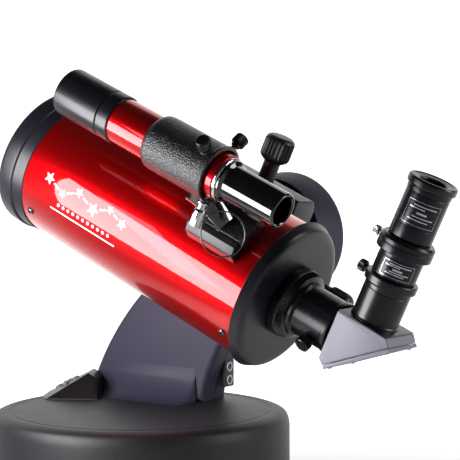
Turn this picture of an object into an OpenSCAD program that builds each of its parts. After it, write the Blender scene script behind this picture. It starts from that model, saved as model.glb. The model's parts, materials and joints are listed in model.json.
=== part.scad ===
// Tabletop telescope on a single-arm motorised mount.
// Frame: +Z up, origin on the azimuth axis at the mouth of the tripod socket.
// +X runs towards the eyepiece end, +Y towards the arm.
// Optical pieces are drawn about the altitude point: x back along the tube,
// y towards the arm and z square to both, then tilted into place.

/* [Layout] */
// Height of the altitude axis above the base board's underside
alt_height = 234; // [228:1:260]
// Altitude axis behind the azimuth axis
alt_behind = 95; // [80:1:105]
// Tube axis to the azimuth axis, sideways
tube_beside = 55; // [50:1:60]
// Tube's tilt above level at rest
tube_tilt = 25; // [15:1:30]
// Sliding clearance round shafts and screws
running_gap = 0.05; // [0.02:0.01:0.1]
// Air left between pieces that move past each other
moving_gap = 0.4; // [0.3:0.1:1]

/* [Base] */
// Base board's radius
board_r = 138; // [130:1:160]
// Base board's thickness
board_h = 22; // [18:1:26]
// Tripod socket's wall radius, tapped 3/8-16
socket_r = 3.97; // [3.9:0.01:4.1]
// Tripod socket's depth
socket_depth = 9; // [8:1:10]
// Rubber foot's radius
foot_r = 16; // [12:1:20]
// Rubber foot's height
foot_h = 10; // [8:1:16]
// Radius of the circle that the feet stand on
foot_circle_r = 118; // [100:1:120]
// Azimuth spindle's radius
spindle_r = 10; // [8:0.5:12]

/* [Turret] */
// Turret's radius
turret_r = 130; // [124:1:138]
// Turret's height
turret_h = 60; // [54:1:66]
// Turret's wall
turret_wall = 3; // [2:0.5:4]
// Battery's radius, AA size
cell_r = 7.1; // [7:0.1:7.2]
// Battery's length, AA size
cell_len = 50; // [49:0.5:51]
// Control pod's crest above the turret's top
pod_rise = 22; // [18:1:24]

/* [Arm] */
// Tube axis to the arm's inner face
arm_in = 112; // [110:1:120]
// Arm's thickness
arm_thick = 38; // [34:1:44]
// Arm shell's wall
arm_wall = 3; // [2:0.5:4]
// Radius of the arm's long front curve
arm_curve_r = 257; // [250:1:264]
// Head drum's largest radius
head_r = 56.6; // [54:0.1:60]
// Altitude plate's radius, which fills the head's mouth
plate_r = 49; // [46:0.5:50]
// Altitude shaft's radius
alt_shaft_r = 8; // [7:0.5:9]

/* [Drive] */
// Teeth on each worm wheel
wheel_teeth = 72; // [60:12:96]
// Altitude worm wheel's radius
alt_wheel_r = 34; // [30:0.5:35]
// Azimuth worm wheel's radius
az_wheel_r = 46; // [40:1:50]
// Worm's radius
worm_r = 6; // [5:0.5:6.5]
// Worm's length
worm_len = 24; // [20:1:28]

/* [Saddle] */
// Tube axis to the dovetail bar's wide face
bar_out = 74; // [72:0.5:76]
// Half width of the bar's wide face
bar_half = 22; // [20:0.5:23]
// Dovetail flank's lean from square
bar_lean = 15; // [10:1:20]
// Dovetail bar's length
bar_len = 120; // [100:1:140]
// Saddle's length
saddle_len = 84; // [70:1:100]
// Clamp knob's radius
clamp_knob_r = 12.7; // [11:0.1:14]

/* [Main tube] */
// Main tube's outer radius
tube_r = 58; // [55:0.5:60]
// Main tube's wall
tube_wall = 1.6; // [1:0.1:2.5]
// Main tube's front end, from the altitude axis
tube_front = 138; // [130:1:150]
// Main tube's back end, from the altitude axis
tube_back = 92.5; // [88:0.5:98]
// Front flange's radius
flange_r = 61; // [60:0.5:64]
// Front flange's length
flange_len = 17; // [12:1:24]
// Clear aperture's radius
aperture_r = 51; // [49:0.5:53]
// Rear cell lip's radius
cell_lip_r = 61.9; // [60:0.1:64]
// Focus knob's radius
focus_r = 10; // [8:0.5:12]

/* [Eyepiece end] */
// Visual back tube's outer radius
back_tube_r = 20.6; // [20:0.1:22]
// Barrel radius of a 1.25 inch eyepiece
barrel_r = 15.875; // [15.8:0.005:15.9]
// Diagonal's width
diagonal_w = 44; // [42:0.5:48]
// Eyepiece axis behind the altitude axis
eyepiece_x = 173; // [170:0.5:176]
// Eyepiece holder's radius
holder_r = 18; // [17.5:0.1:19]
// Barlow body's radius
barlow_r = 17.1; // [17:0.1:17.5]
// Barlow head's radius
barlow_head_r = 21.3; // [20:0.1:22]
// Eyepiece body's radius
eyepiece_r = 16.7; // [16.6:0.1:18]
// Eyecup's radius
eyecup_r = 18.8; // [18:0.1:20]

/* [Finder] */
// Finder axis to the tube axis
finder_out = 107.6; // [104:0.1:112]
// Finder's place round the tube, above level
finder_angle = 47.7; // [44:0.1:50]
// Finder shoe's place round the tube, above level
shoe_angle = 40; // [36:1:44]
// Finder tube's radius
finder_r = 18.2; // [17:0.1:18.5]
// Finder shade's radius
shade_r = 19.5; // [19:0.1:21]
// Bracket ring's outer radius
ring_r = 21.9; // [21.4:0.1:24]
// Finder eyepiece tube's radius
finder_eye_r = 13.5; // [12:0.1:14]

/* [Hidden] */
$fn = 96;
eps = 0.01;
slot_ease = 0.1;
turret_gap = 2;
turret_low = board_h + turret_gap;
turret_top = turret_low + turret_h;
turret_floor_h = 4;
arm_out = arm_in + arm_thick;
arm_split = arm_in + arm_thick / 2;
arm_drop = alt_height - turret_top;
head_mouth_r = plate_r + moving_gap;
worm_centre_drop = alt_wheel_r + worm_r + moving_gap;
az_worm_y = -(az_wheel_r + worm_r + moving_gap);
floor_top = turret_low + turret_floor_h;
drive_low = floor_top + 4;
az_worm_z = floor_top + worm_r + 1;
flange_front = tube_front + 11 + flange_len;
flange_back = tube_front + 11;
cell_back = tube_back + 8.5;
holder_low = 20.5;
holder_top = 56.5;
barlow_top = 88;
eyepiece_top = 128.5;
eyecup_top = 134.5;
pod_x = -80;
pod_y = 24;
key_pitch = 8.5;
key_r = 3.4;
shoe_from = 28;
shoe_to = 75;
shoe_half = 19;
groove_half = 9;
ring_from = -15;
ring_to = 47;
shade_from = -108.5;
shade_seam = -64;
shade_to = -51.5;
eye_from = 59;
eye_to = 107.5;

// Puts an optical piece at the altitude point and tilts it up.
module aimed() {
    translate([alt_behind, -tube_beside, alt_height]) rotate([0, tube_tilt, 0]) children();
}

// The same place, not tilted, for what stays with the arm.
module at_head() {
    translate([alt_behind, -tube_beside, alt_height]) children();
}

// A turned piece about the tube axis: points are [radius, distance back].
module turned_x(points) {
    rotate([0, 90, 0]) rotate_extrude() polygon(points);
}

// A turned piece about the altitude axis: points are [radius, distance towards the arm].
module turned_y(points) {
    rotate([-90, 0, 0]) rotate_extrude() polygon(points);
}

// A rod along x from one place to another.
module rod_x(from, to, r) {
    translate([from, 0, 0]) rotate([0, 90, 0]) cylinder(h = to - from, r = r);
}

// A rod along y from one place to another.
module rod_y(from, to, r) {
    translate([0, from, 0]) rotate([-90, 0, 0]) cylinder(h = to - from, r = r);
}

// A pipe standing on z = 0.
module pipe(h, outer, inner) {
    difference() {
        cylinder(h = h, r = outer);
        translate([0, 0, -eps]) cylinder(h = h + 2 * eps, r = inner);
    }
}

// Puts what points up z onto the tube's skin at an angle above level, on the side away from the arm.
module round_tube(angle) {
    rotate([90 - angle, 0, 0]) children();
}

module finder_place() {
    translate([0, -finder_out * cos(finder_angle), finder_out * sin(finder_angle)]) children();
}

// Three copies of a piece round the base.
module at_feet() {
    for (turn = [60, 180, 300]) rotate([0, 0, turn]) translate([foot_circle_r, 0, 0]) children();
}

/* ---- base ---- */
peg_r = 4;
peg_h = 8;
spindle_foot_h = 6;

module base_board() {
    color("#1b1a1e") difference() {
        rotate_extrude() polygon([[0, 0], [board_r - 3, 0], [board_r, 3], [board_r, board_h - 5],
            [board_r - 2, board_h - 1.5], [board_r - 5, board_h], [0, board_h]]);
        translate([0, 0, -eps]) cylinder(h = socket_depth + eps, r = socket_r);
        translate([0, 0, board_h - spindle_foot_h]) cylinder(h = board_h, r = spindle_r + slot_ease);
        at_feet() translate([0, 0, -eps]) cylinder(h = peg_h + 1, r = peg_r);
    }
}

module rubber_feet() {
    color("#141414") at_feet() translate([0, 0, -foot_h]) rotate_extrude() polygon([
        [0, 0], [foot_r - 2, 0], [foot_r, 2], [foot_r, foot_h], [peg_r, foot_h], [peg_r, foot_h + peg_h],
        [0, foot_h + peg_h]]);
}

module azimuth_spindle() {
    color("silver") {
        translate([0, 0, board_h - spindle_foot_h]) cylinder(h = drive_low + 18 - board_h +
            spindle_foot_h, r = spindle_r);
        translate([0, 0, drive_low + 18]) cylinder(h = 3, r = spindle_r - 3);
    }
}

// A toothed wheel with a round bore, standing on z = 0.
module toothed_wheel(h, r, bore) {
    tooth = 360 / wheel_teeth;
    depth = 1.2;
    difference() {
        linear_extrude(height = h) polygon([for (i = [0 : wheel_teeth - 1]) for (k = [0 : 3])
            let (a = (i + [0, 0.25, 0.5, 0.75][k]) * tooth, q = r - [0, 0, depth, depth][k])
            [q * cos(a), q * sin(a)]]);
        translate([0, 0, -eps]) cylinder(h = h + 2 * eps, r = bore);
    }
}

module azimuth_wheel() {
    color("#b08d57") translate([0, 0, drive_low]) toothed_wheel(8, az_wheel_r, spindle_r + eps);
}

/* ---- turret ---- */
bearing_r = spindle_r + 6;

module turret_housing() {
    edge = 9;
    arm_slot_x = [alt_behind - 180, alt_behind - 82];
    color("#26242b") difference() {
        rotate_extrude() polygon([
            [turret_r - turret_wall, turret_low], [turret_r, turret_low], [turret_r, turret_top - edge],
            for (a = [15 : 15 : 90]) [turret_r - edge + edge * cos(a), turret_top - edge + edge * sin(a)],
            [0, turret_top], [0, turret_top - turret_wall], [turret_r - edge, turret_top - turret_wall],
            for (a = [75 : -15 : 0])
                [turret_r - edge + (edge - turret_wall) * cos(a),
                    turret_top - edge + (edge - turret_wall) * sin(a)]]);
        translate([arm_slot_x[0], arm_in - tube_beside + 4, turret_top - 2 * turret_wall])
            cube([arm_slot_x[1] - arm_slot_x[0], 8.2, 4 * turret_wall]);
        translate([alt_behind - 100, arm_split - tube_beside - 3, turret_top - 2 * turret_wall])
            cylinder(h = 4 * turret_wall, r = 5);
    }
}

module turret_floor() {
    color("#26242b") difference() {
        translate([0, 0, turret_low]) cylinder(h = turret_floor_h, r = turret_r - turret_wall - slot_ease);
        translate([0, 0, turret_low - eps]) cylinder(h = turret_floor_h + 2 * eps, r = bearing_r);
    }
}

module azimuth_bearing() {
    color("silver") translate([0, 0, turret_low - 1])
        pipe(turret_floor_h + 3, bearing_r, spindle_r + running_gap);
}

// A worm's ridges as a row of rings, with its shaft, along x and centred.
module worm() {
    pitch = 3;
    turned_x([
        [0, -worm_len / 2 - 6], [2, -worm_len / 2 - 6], [2, -worm_len / 2],
        for (x = [-worm_len / 2 : pitch : worm_len / 2 - pitch]) each
            [[worm_r - 1.5, x], [worm_r, x + 0.4 * pitch], [worm_r, x + 0.6 * pitch],
                [worm_r - 1.5, x + pitch]],
        [2, worm_len / 2], [2, worm_len / 2 + 6], [0, worm_len / 2 + 6]]);
}

// A gear motor beside a worm: a gearbox that holds the worm's end, and the motor on it.
module gear_motor(box_len, side, r, motor_len) {
    x0 = worm_len / 2 + 1;
    difference() {
        union() {
            translate([x0, -worm_r, -worm_r - 1]) cube([6, side + r, box_len]);
            translate([x0 - motor_len, side, box_len / 2 - worm_r - 1])
                rotate([0, 90, 0]) cylinder(h = motor_len + eps, r = r);
        }
        rod_x(x0 - 1, x0 + 5.5, 2 + running_gap);
    }
}

module azimuth_motor() {
    color("#8d8f94") translate([0, az_worm_y, az_worm_z]) mirror([0, 1, 0]) gear_motor(18, 18, 8, 34);
}

module azimuth_worm() {
    color("#b9bcc2") translate([0, az_worm_y, az_worm_z]) worm();
}

tray_x = 52;
tray_wall = 2;
tray_rows = 4;
cell_pitch = 2 * cell_r + 0.6;

module battery_tray() {
    color("#17171a") translate([tray_x, -tray_rows * cell_pitch / 2, floor_top]) difference() {
        cube([cell_len + 3 * tray_wall, tray_rows * cell_pitch, 2 * cell_r + 2 * tray_wall]);
        translate([tray_wall, tray_wall, tray_wall])
            cube([cell_len + tray_wall, tray_rows * cell_pitch - 2 * tray_wall, 4 * cell_r]);
    }
}

module batteries() {
    color("#3c4a57") for (row = [0 : tray_rows - 2])
        translate([tray_x + tray_wall + 1, 0, floor_top + tray_wall + cell_r])
            translate([0, (row - (tray_rows - 2) / 2) * cell_pitch, 0]) {
                rod_x(0, cell_len - 1, cell_r);
                rod_x(cell_len - 1 - eps, cell_len, 2.7);
            }
}

board_size = [58, 80, 1.6];
post_h = 6;

module circuit_board() {
    color("#1f5a36") translate([-board_size[0] - 50, -board_size[1] / 2, floor_top]) {
        for (x = [5, board_size[0] - 5]) for (y = [5, board_size[1] - 5])
            translate([x, y, 0]) cylinder(h = post_h + eps, r = 2.5);
        translate([0, 0, post_h]) cube(board_size);
        translate([12, 20, post_h + board_size[2] - eps]) cube([14, 14, 2]);
        translate([36, 50, post_h + board_size[2] - eps]) cube([12, 20, 8]);
    }
}

/* ---- control pod ---- */
pod_wide = 34;
pod_lean = 27;
pod_turn = 30;
pod_run = pod_rise / tan(pod_lean);
key_run = 24;

// Puts a piece at the near end of the pod's crest, turned with the pod.
module at_pod() {
    translate([pod_x, pod_y, turret_top]) rotate([0, 0, pod_turn]) children();
}

// Stands on the pod's panel at the crest: -x down the slope, z out of it.
module on_panel() {
    at_pod() translate([0, 0, pod_rise]) rotate([0, -pod_lean, 0]) children();
}

module key_places(which) {
    spots = [[key_pitch, 0], [-key_pitch, 0], [0, key_pitch], [0, -key_pitch]];
    translate([-key_run + spots[which][0], pod_wide / 2 - 4 + spots[which][1], 0]) children();
}

module switch_place() {
    translate([-key_run - 1, pod_wide - 5, 0]) children();
}

module control_pod() {
    color("#1d1c20") difference() {
        hull() {
            at_pod() translate([0, pod_wide, 0]) rotate([90, 0, 0]) linear_extrude(height = pod_wide)
                polygon([[-pod_run, 0], [0, pod_rise], [8, pod_rise - 5], [13, 0]]);
            at_pod() translate([-pod_run + 8, -20, 0]) cube([pod_run + 4, 1, 1]);
        }
        for (which = [0 : 3]) on_panel() key_places(which)
            translate([0, 0, -4]) cylinder(h = 10, r = key_r + running_gap);
        on_panel() switch_place() translate([-6.5, -3.2, -6]) cube([13, 6.4, 12]);
        at_head() {
            root_foot();
            arm_slab(arm_in - eps, arm_out, 0, arm_drop + 1);
        }
    }
}

module key_cap(which) {
    color("#6d6f76") on_panel() key_places(which) rotate_extrude()
        polygon([[0, -1.6], [key_r, -1.6], [key_r, 1.6], [key_r - 1, 2.4], [0, 2.4]]);
}
module key_up() { key_cap(0); }
module key_down() { key_cap(1); }
module key_left() { key_cap(2); }
module key_right() { key_cap(3); }

module power_switch() {
    color("#a11c22") on_panel() switch_place() translate([0, 2.8, -3]) rotate([90, 0, 0]) {
        linear_extrude(height = 5.6) polygon([[-5.4, 2], [-1.6, 0], [1.6, 0], [5.4, 2], [5.4, 4.2],
            [0, 3.4],
            [-5.4, 5.4]]);
        cylinder(h = 5.6, r = 1.8);
    }
}

/* ---- arm ---- */
arm_centre = [40, -238];

function curve3(a, b, c, t) = (1 - t) * (1 - t) * a + 2 * t * (1 - t) * b + t * t * c;

// The arm's outline in x and z about the altitude point, drawn in by an inset.
function arm_outline(inset, drop) =
    let (r = arm_curve_r - inset, low = asin((-drop - arm_centre[1]) / r), high = 115,
        pull = [-0.87 * inset, 0.3 * inset])
    [for (i = [0 : 32]) let (a = (180 - low) + (high - 180 + low) * i / 32)
            arm_centre + r * [cos(a), sin(a)],
        [-20, -20],
        for (i = [0 : 24]) let (p = curve3([-22, -53], [-68, -118], [-70, -arm_drop], i / 24) + pull)
            [p[0], max(p[1], -drop)],
        if (drop > arm_drop) [-70 + pull[0], -drop]];

// A slab with the arm's outline between two distances from the tube axis.
module arm_slab(from, to, inset, drop) {
    translate([0, to, 0]) rotate([90, 0, 0]) linear_extrude(height = to - from)
        polygon(arm_outline(inset, drop));
}

screw_spots = [[-150, -128], [-96, -128], [-118, -74], [-170, -110]];

module arm_half(from, to, open_from, open_to) {
    difference() {
        arm_slab(from, to, 0, arm_drop);
        arm_slab(open_from, open_to, arm_wall, arm_drop + 1);
        rod_y(arm_in - 1, arm_out + 1, head_r);
    }
}

root_r = 30;

module arm_inner_shell() {
    color("#2b2a30") at_head() {
        arm_half(arm_in, arm_split, arm_in + arm_wall, arm_split + 1);
        root_foot();
    }
}

// Concave foot that spreads from the arm onto the turret.
module root_foot() {
    translate([-188, arm_in, -arm_drop]) rotate([90, 0, 90]) linear_extrude(height = 112) polygon([
        [eps, 0], [eps, root_r], for (a = [0 : 10 : 90]) [-root_r + root_r * cos(a), root_r - root_r *
            sin(a)]]);
}

module arm_outer_shell() {
    color("#2b2a30") at_head() difference() {
        arm_half(arm_split, arm_out, arm_split - 1, arm_out - arm_wall);
        port_block(slot_ease);
        for (spot = screw_spots) translate([spot[0], 0, spot[1]]) {
            rod_y(arm_split, arm_out + 1, 1.6 + slot_ease);
            rod_y(arm_out - 1.6, arm_out + 1, 3.2);
        }
    }
}

module arm_frame() {
    frame_drop = alt_height - turret_low - turret_floor_h;
    color("#75777d") at_head() difference() {
        intersection() {
            arm_slab(arm_in + 5, arm_in + 11, arm_wall + 1, frame_drop);
            union() {
                translate([-178, 0, -frame_drop]) cube([94, arm_out, frame_drop - arm_drop + arm_wall + 2]);
                translate([-200, 0, -arm_drop + arm_wall + 1]) cube([300, arm_out, 200]);
            }
        }
        rod_y(arm_in - 1, arm_out + 1, head_r);
        for (spot = screw_spots) translate([spot[0], 0, spot[1]]) rod_y(arm_in, arm_out, 1.6 + slot_ease);
    }
}

module arm_screws() {
    color("silver") at_head() for (spot = screw_spots) translate([spot[0], 0, spot[1]]) {
        rod_y(arm_in + 5, arm_out - 1.5, 1.6);
        rod_y(arm_out - 1.6, arm_out - 0.2, 3);
    }
}

port_size = [7, 14, 24];
port_low = [-65.5, arm_split + 1.5, -138];
port_r = 2.85;
port_depth = 3;

module port_block(grow) {
    translate(port_low - [0, grow, grow]) cube(port_size + [grow, 2 * grow, 2 * grow]);
}

module port_panel() {
    color("#0f0f12") at_head() difference() {
        port_block(0);
        for (z = [6, 18]) translate(port_low + [0, port_size[1] / 2, z])
            rod_x(port_size[0] - port_depth, port_size[0] + 1, port_r);
    }
}

/* ---- head ---- */
head_wall = 3;
alt_drive_y = 13.2;

module head_drum() {
    color("#2b2a30") at_head() difference() {
        turned_y([[head_mouth_r, arm_in + 1], [head_mouth_r + 1.4, arm_in + 1], [head_r, arm_in + 29],
            [head_r, arm_out - 4], [head_r - 4, arm_out], [0, arm_out], [0, arm_out - head_wall],
            [alt_shaft_r + 6, arm_out - head_wall], [alt_shaft_r + 6, arm_out - 20],
            [alt_shaft_r + 10, arm_out - 20], [alt_shaft_r + 10, arm_out - head_wall],
            [head_r - head_wall, arm_out - head_wall], [head_r - head_wall, arm_in + 29],
            [head_mouth_r, arm_in + 8]]);
        // Way for the wires into the arm
        translate([-head_r - 2, arm_out - 14, -20]) cube([8, 8, 8]);
    }
}

module altitude_bearing() {
    color("silver") at_head() turned_y([[alt_shaft_r + running_gap, arm_out - 19],
        [alt_shaft_r + 6, arm_out - 19],
        [alt_shaft_r + 6, arm_out - 9], [alt_shaft_r + running_gap, arm_out - 9]]);
}

module altitude_worm() {
    color("#b9bcc2") at_head() translate([0, arm_in + alt_drive_y, -worm_centre_drop]) worm();
}

module altitude_motor() {
    x0 = worm_len / 2 + 1;
    color("#8d8f94") at_head() translate([0, arm_in + alt_drive_y, -worm_centre_drop]) difference() {
        union() {
            translate([x0, -4, -3]) cube([6, 25.4, 8]);
            translate([x0 - 30, 15, 1]) rotate([0, 90, 0]) cylinder(h = 30 + eps, r = 6.5);
        }
        rod_x(x0 - 1, x0 + 5.5, 2 + running_gap);
    }
}

module altitude_wheel() {
    color("#b08d57") aimed() translate([0, arm_in + alt_drive_y - 3.5, 0]) rotate([-90, 0, 0])
        toothed_wheel(7, alt_wheel_r, alt_shaft_r + eps);
}

module altitude_shaft() {
    color("silver") aimed() rod_y(arm_in - 8, arm_out - 6, alt_shaft_r);
}

module altitude_plate() {
    color("#1c1b1f") aimed() difference() {
        turned_y([[0, arm_in - 17], [30, arm_in - 17], [30, arm_in + 0.3], [plate_r - 1, arm_in + 0.3],
            [plate_r, arm_in + 1.3], [plate_r, arm_in + 6.5], [0, arm_in + 6.5]]);
        rod_y(arm_in - 8, arm_in + 7, alt_shaft_r + eps);
    }
}

/* ---- saddle and dovetail ---- */
saddle_out = arm_in - 17;
jaw_travel = 1.5;
clamp_y = 67;
clamp_x = 3;
lean = tan(bar_lean);
wall_in = 61;
jaw_floor = bar_half + 3.4;

// Half width of the bar at a distance from the tube axis.
function bar_at(y) = bar_half - (bar_out - y) * lean;

module dovetail_bar() {
    color("#3a3a40") aimed() difference() {
        translate([-bar_len / 2, 0, 0]) rotate([90, 0, 90]) linear_extrude(height = bar_len)
            polygon([[bar_out - 20, -bar_at(bar_out - 16)], [bar_out - 16, -bar_at(bar_out - 16)],
                [bar_out, -bar_half], [bar_out, bar_half], [bar_out - 16, bar_at(bar_out - 16)],
                [bar_out - 20, bar_at(bar_out - 16)]]);
        rod_x(-bar_len, bar_len, tube_r);
    }
}

module saddle() {
    g = moving_gap / 2;
    low_edge = bar_out + g;
    tall = 54;
    color("#1c1b1f") aimed() difference() {
        translate([-saddle_len / 2, 0, 0]) rotate([90, 0, 90]) linear_extrude(height = saddle_len)
            polygon([[wall_in, -34], [wall_in, -bar_at(wall_in) - g], [low_edge, -bar_half - g],
                [low_edge, bar_half + 10], [wall_in + 1, bar_half + 10], [wall_in + 1, tall - 3],
                [wall_in + 4, tall], [saddle_out - 6, tall], [saddle_out, tall - 8], [saddle_out, -34]]);
        translate([clamp_x, clamp_y, bar_half]) cylinder(h = tall, r = 4 + running_gap);
    }
}

module clamp_jaw() {
    g = moving_gap / 2;
    color("#8d8f94") aimed() difference() {
        translate([clamp_x - 22, 0, 0]) rotate([90, 0, 90]) linear_extrude(height = 44)
            polygon([[wall_in + 1.5, bar_at(wall_in + 1.5) + g], [bar_out - 1, bar_at(bar_out - 1) + g],
                [bar_out - 1, bar_half + 6], [wall_in + 1.5, bar_half + 6]]);
        translate([clamp_x, clamp_y, jaw_floor - jaw_travel - 0.3]) cylinder(h = 20, r = 4 + 0.3);
    }
}

module clamp_knob() {
    color("#141316") aimed() translate([clamp_x, clamp_y, 0]) {
        translate([0, 0, jaw_floor]) cylinder(h = 54.4 - jaw_floor + 1, r = 4);
        translate([0, 0, 54.4]) rotate_extrude() polygon([[0, 0], [7, 0], [7, 17], [clamp_knob_r - 2, 19],
            [clamp_knob_r, 23], [clamp_knob_r, 36], [clamp_knob_r - 2.5, 40], [0, 41]]);
    }
}

/* ---- main tube ---- */
module main_tube() {
    color("#b3101c") aimed() turned_x([[tube_r - tube_wall, -tube_front], [tube_r, -tube_front],
        [tube_r, tube_back], [tube_r - tube_wall, tube_back]]);
}

glass_seat_r = aperture_r + 3;

module front_ring() {
    color("#1b1a1e") aimed() turned_x([[aperture_r, -flange_front + 2], [aperture_r + 3, -flange_front],
        [flange_r - 3, -flange_front], [flange_r - 0.8, -flange_front + 1.2], [flange_r, -flange_front + 3],
        [flange_r, -flange_back - 1], [tube_r + 1.4, -flange_back], [tube_r + 0.7, -tube_front],
        [tube_r - tube_wall, -tube_front], [tube_r - tube_wall, -tube_front + 8],
        [glass_seat_r, -tube_front + 8], [glass_seat_r, -flange_front + 14],
            [aperture_r, -flange_front + 14]]);
}

module corrector_lens() {
    back = -flange_front + 14.2;
    color([0.6, 0.75, 0.8, 0.4]) aimed() turned_x([
        for (i = [0 : 12]) let (r = glass_seat_r * i / 12 * 0.995) [r, back + 5 - 5 * pow(r /
            glass_seat_r, 2)],
        for (i = [12 : -1 : 0]) let (r = glass_seat_r * i / 12 * 0.995) [r, back + 14 - 6 * pow(r /
            glass_seat_r, 2)]]);
}

mirror_front = tube_back - 22;
baffle_r = 13;

module primary_mirror() {
    color("#c9ccd2") aimed() turned_x([[baffle_r + 3, mirror_front + 1.2], [52, mirror_front - 3],
        [52, mirror_front + 8], [baffle_r + 6, mirror_front + 10], [baffle_r + 6, mirror_front + 17],
        [baffle_r + running_gap, mirror_front + 17], [baffle_r + running_gap, mirror_front - 4],
        [baffle_r + 3, mirror_front - 4]]);
}

module primary_baffle() {
    color("#101012") aimed() turned_x([[baffle_r - 2, -30], [baffle_r, -30], [baffle_r, tube_back + 1],
        [baffle_r - 2, tube_back + 1]]);
}

cell_hole_r = 17;

module rear_cell() {
    color("#1f1d22") aimed() difference() {
        turned_x([[baffle_r, tube_back - 1], [tube_r - tube_wall - 3, tube_back - 1],
            [tube_r - tube_wall - 3, tube_back - 8], [tube_r - tube_wall, tube_back - 8],
            [tube_r - tube_wall, tube_back], [cell_lip_r, tube_back], [cell_lip_r, tube_back + 1],
            [tube_r + 0.9, cell_back - 2.6], [tube_r - 1.5, cell_back], [cell_hole_r, cell_back],
            [cell_hole_r, tube_back + 1], [baffle_r, tube_back + 1]]);
        translate([0, focus_y, focus_z]) rod_x(tube_back - 10, cell_back + 1, 3 + running_gap);
    }
}

module tube_screws() {
    color("silver") aimed() for (x = [-tube_front + 10, tube_back - 9]) for (side = [-1, 1])
        translate([x, 0, 0]) rotate([side * (90 + 35), 0, 0])
            translate([0, 0, tube_r]) rotate_extrude() polygon([[0, 0], [3.2, 0], [2.6, 1], [1.4, 1.7],
                [0, 1.9]]);
}

focus_y = 39;
focus_z = 5;

module focus_knob() {
    color("#17161a") aimed() translate([0, focus_y, focus_z]) {
        rod_x(tube_back - 1, cell_back + 3, 3);
        turned_x([[0, cell_back + 2], [focus_r - 1.6, cell_back + 2], [focus_r - 1.6, cell_back + 12],
            [focus_r, cell_back + 13], [focus_r, cell_back + 28], [focus_r - 3, cell_back + 31],
                [0, cell_back + 31]]);
    }
}

/* ---- eyepiece end ---- */
back_start = cell_back + 17;
back_end = 150;
nose_start = back_start + 8;

module visual_back() {
    color("#1b1a1e") aimed() difference() {
        turned_x([[baffle_r + 2, tube_back + 1], [cell_hole_r, tube_back + 1],
            [cell_hole_r, cell_back + 0.2],
            [28, cell_back + 0.2], [28.7, cell_back + 3], [28.7, cell_back + 8], [26.5, cell_back + 14],
            [23, cell_back + 14.4], [23, back_start], [back_tube_r, back_start],
                [back_tube_r, back_end - 5],
            [back_tube_r + 0.7, back_end - 4], [back_tube_r + 0.7, back_end],
                [barrel_r + running_gap, back_end],
            [barrel_r + running_gap, nose_start - 1], [baffle_r + 2, nose_start - 1]]);
        vb_screw_place() cylinder(h = 40, r = 2 + running_gap);
    }
}

vb_screw_x = 137;
vb_screw_angle = -37;
module vb_screw_place() {
    translate([vb_screw_x, 0, 0]) round_tube(vb_screw_angle) children();
}

// A thumbscrew along z with its tip at z = tip: shank, neck and knurled head.
module thumbscrew(tip, seat, head_r, head_h) {
    translate([0, 0, tip]) cylinder(h = seat - tip + eps, r = 2);
    translate([0, 0, seat]) rotate_extrude() polygon([[0, 0], [head_r - 2, 0], [head_r - 2, 2],
        [head_r - 0.8, 2], [head_r, 2.8], [head_r, head_h - 0.8], [head_r - 0.8, head_h], [0, head_h]]);
}

module visual_back_screw() {
    color("#1b1a1e") aimed() vb_screw_place() thumbscrew(barrel_r + 0.35, back_tube_r + 1, 6, 9);
}

// The diagonal's outline in x and z, seen from the side.
diagonal_outline = [[152.7, -14], [152.7, 20.5], [197, 20.5], [202.8, 13.5], [159.8, -25.7],
    [152.7, -20.4]];

module diagonal_body() {
    color("#a9a6ac") aimed() difference() {
        union() {
            translate([0, diagonal_w / 2, 0]) rotate([90, 0, 0])
                linear_extrude(height = diagonal_w) polygon(diagonal_outline);
            rod_x(nose_start, 153, barrel_r);
            rod_x(back_end + 0.4, 153, 18);
            translate([eyepiece_x, 0, holder_low - eps]) cylinder(h = holder_top - 7 - holder_low, r =
                holder_r);
            translate([eyepiece_x, 0, holder_top - 7 - 2 * eps]) cylinder(h = 7, r = holder_r + 2.3);
        }
        rod_x(nose_start - 1, 158, 13);
        translate([eyepiece_x, 0, 10]) cylinder(h = 20, r = 13);
        translate([0, diagonal_w / 2 - 4, 0]) rotate([90, 0, 0]) linear_extrude(height = diagonal_w - 8)
            polygon([[156, -15], [156, 17], [193, 17], [197, 13], [160, -21]]);
        translate([eyepiece_x, 0, 26]) cylinder(h = 60, r = barrel_r + running_gap);
        holder_screw_place() cylinder(h = 30, r = 2 + running_gap);
    }
}

// The mirror stands on the cavity's side walls, with its face through the crossing of the two axes.
module diagonal_mirror() {
    color("#d5d9df") aimed() translate([eyepiece_x, 0, 0]) rotate([0, -45, 0])
        translate([-18, -diagonal_w / 2 + 4, -3]) cube([36, diagonal_w - 8, 3]);
}

module holder_screw_place() {
    translate([eyepiece_x, 0, holder_top - 3.5]) rotate([0, -90, 0]) children();
}

module holder_screw() {
    color("#1b1a1e") aimed() holder_screw_place() thumbscrew(barrel_r + 0.35, holder_r + 2.8, 4.6, 8);
}

barrel_gap = 0.4;
barlow_screw_z = 82;

module barlow() {
    color("#17161a") aimed() translate([eyepiece_x, 0, 0]) difference() {
        union() {
            translate([0, 0, 27]) cylinder(h = holder_top - 26, r = barrel_r);
            translate([0, 0, holder_top + barrel_gap]) cylinder(h = 20, r = barlow_r);
            rotate_extrude() polygon([[0, 76], [barlow_head_r - 0.6, 76], [barlow_head_r, 76.6],
                [barlow_head_r, barlow_top - 2], [barlow_head_r - 2, barlow_top], [0, barlow_top]]);
        }
        translate([0, 0, 26]) cylinder(h = 80, r = 12.5);
        translate([0, 0, 58]) cylinder(h = 60, r = barrel_r + running_gap);
        translate([0, 0, barlow_screw_z]) rotate([0, -90, 0]) cylinder(h = 40, r = 1.5 + running_gap);
    }
}

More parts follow.
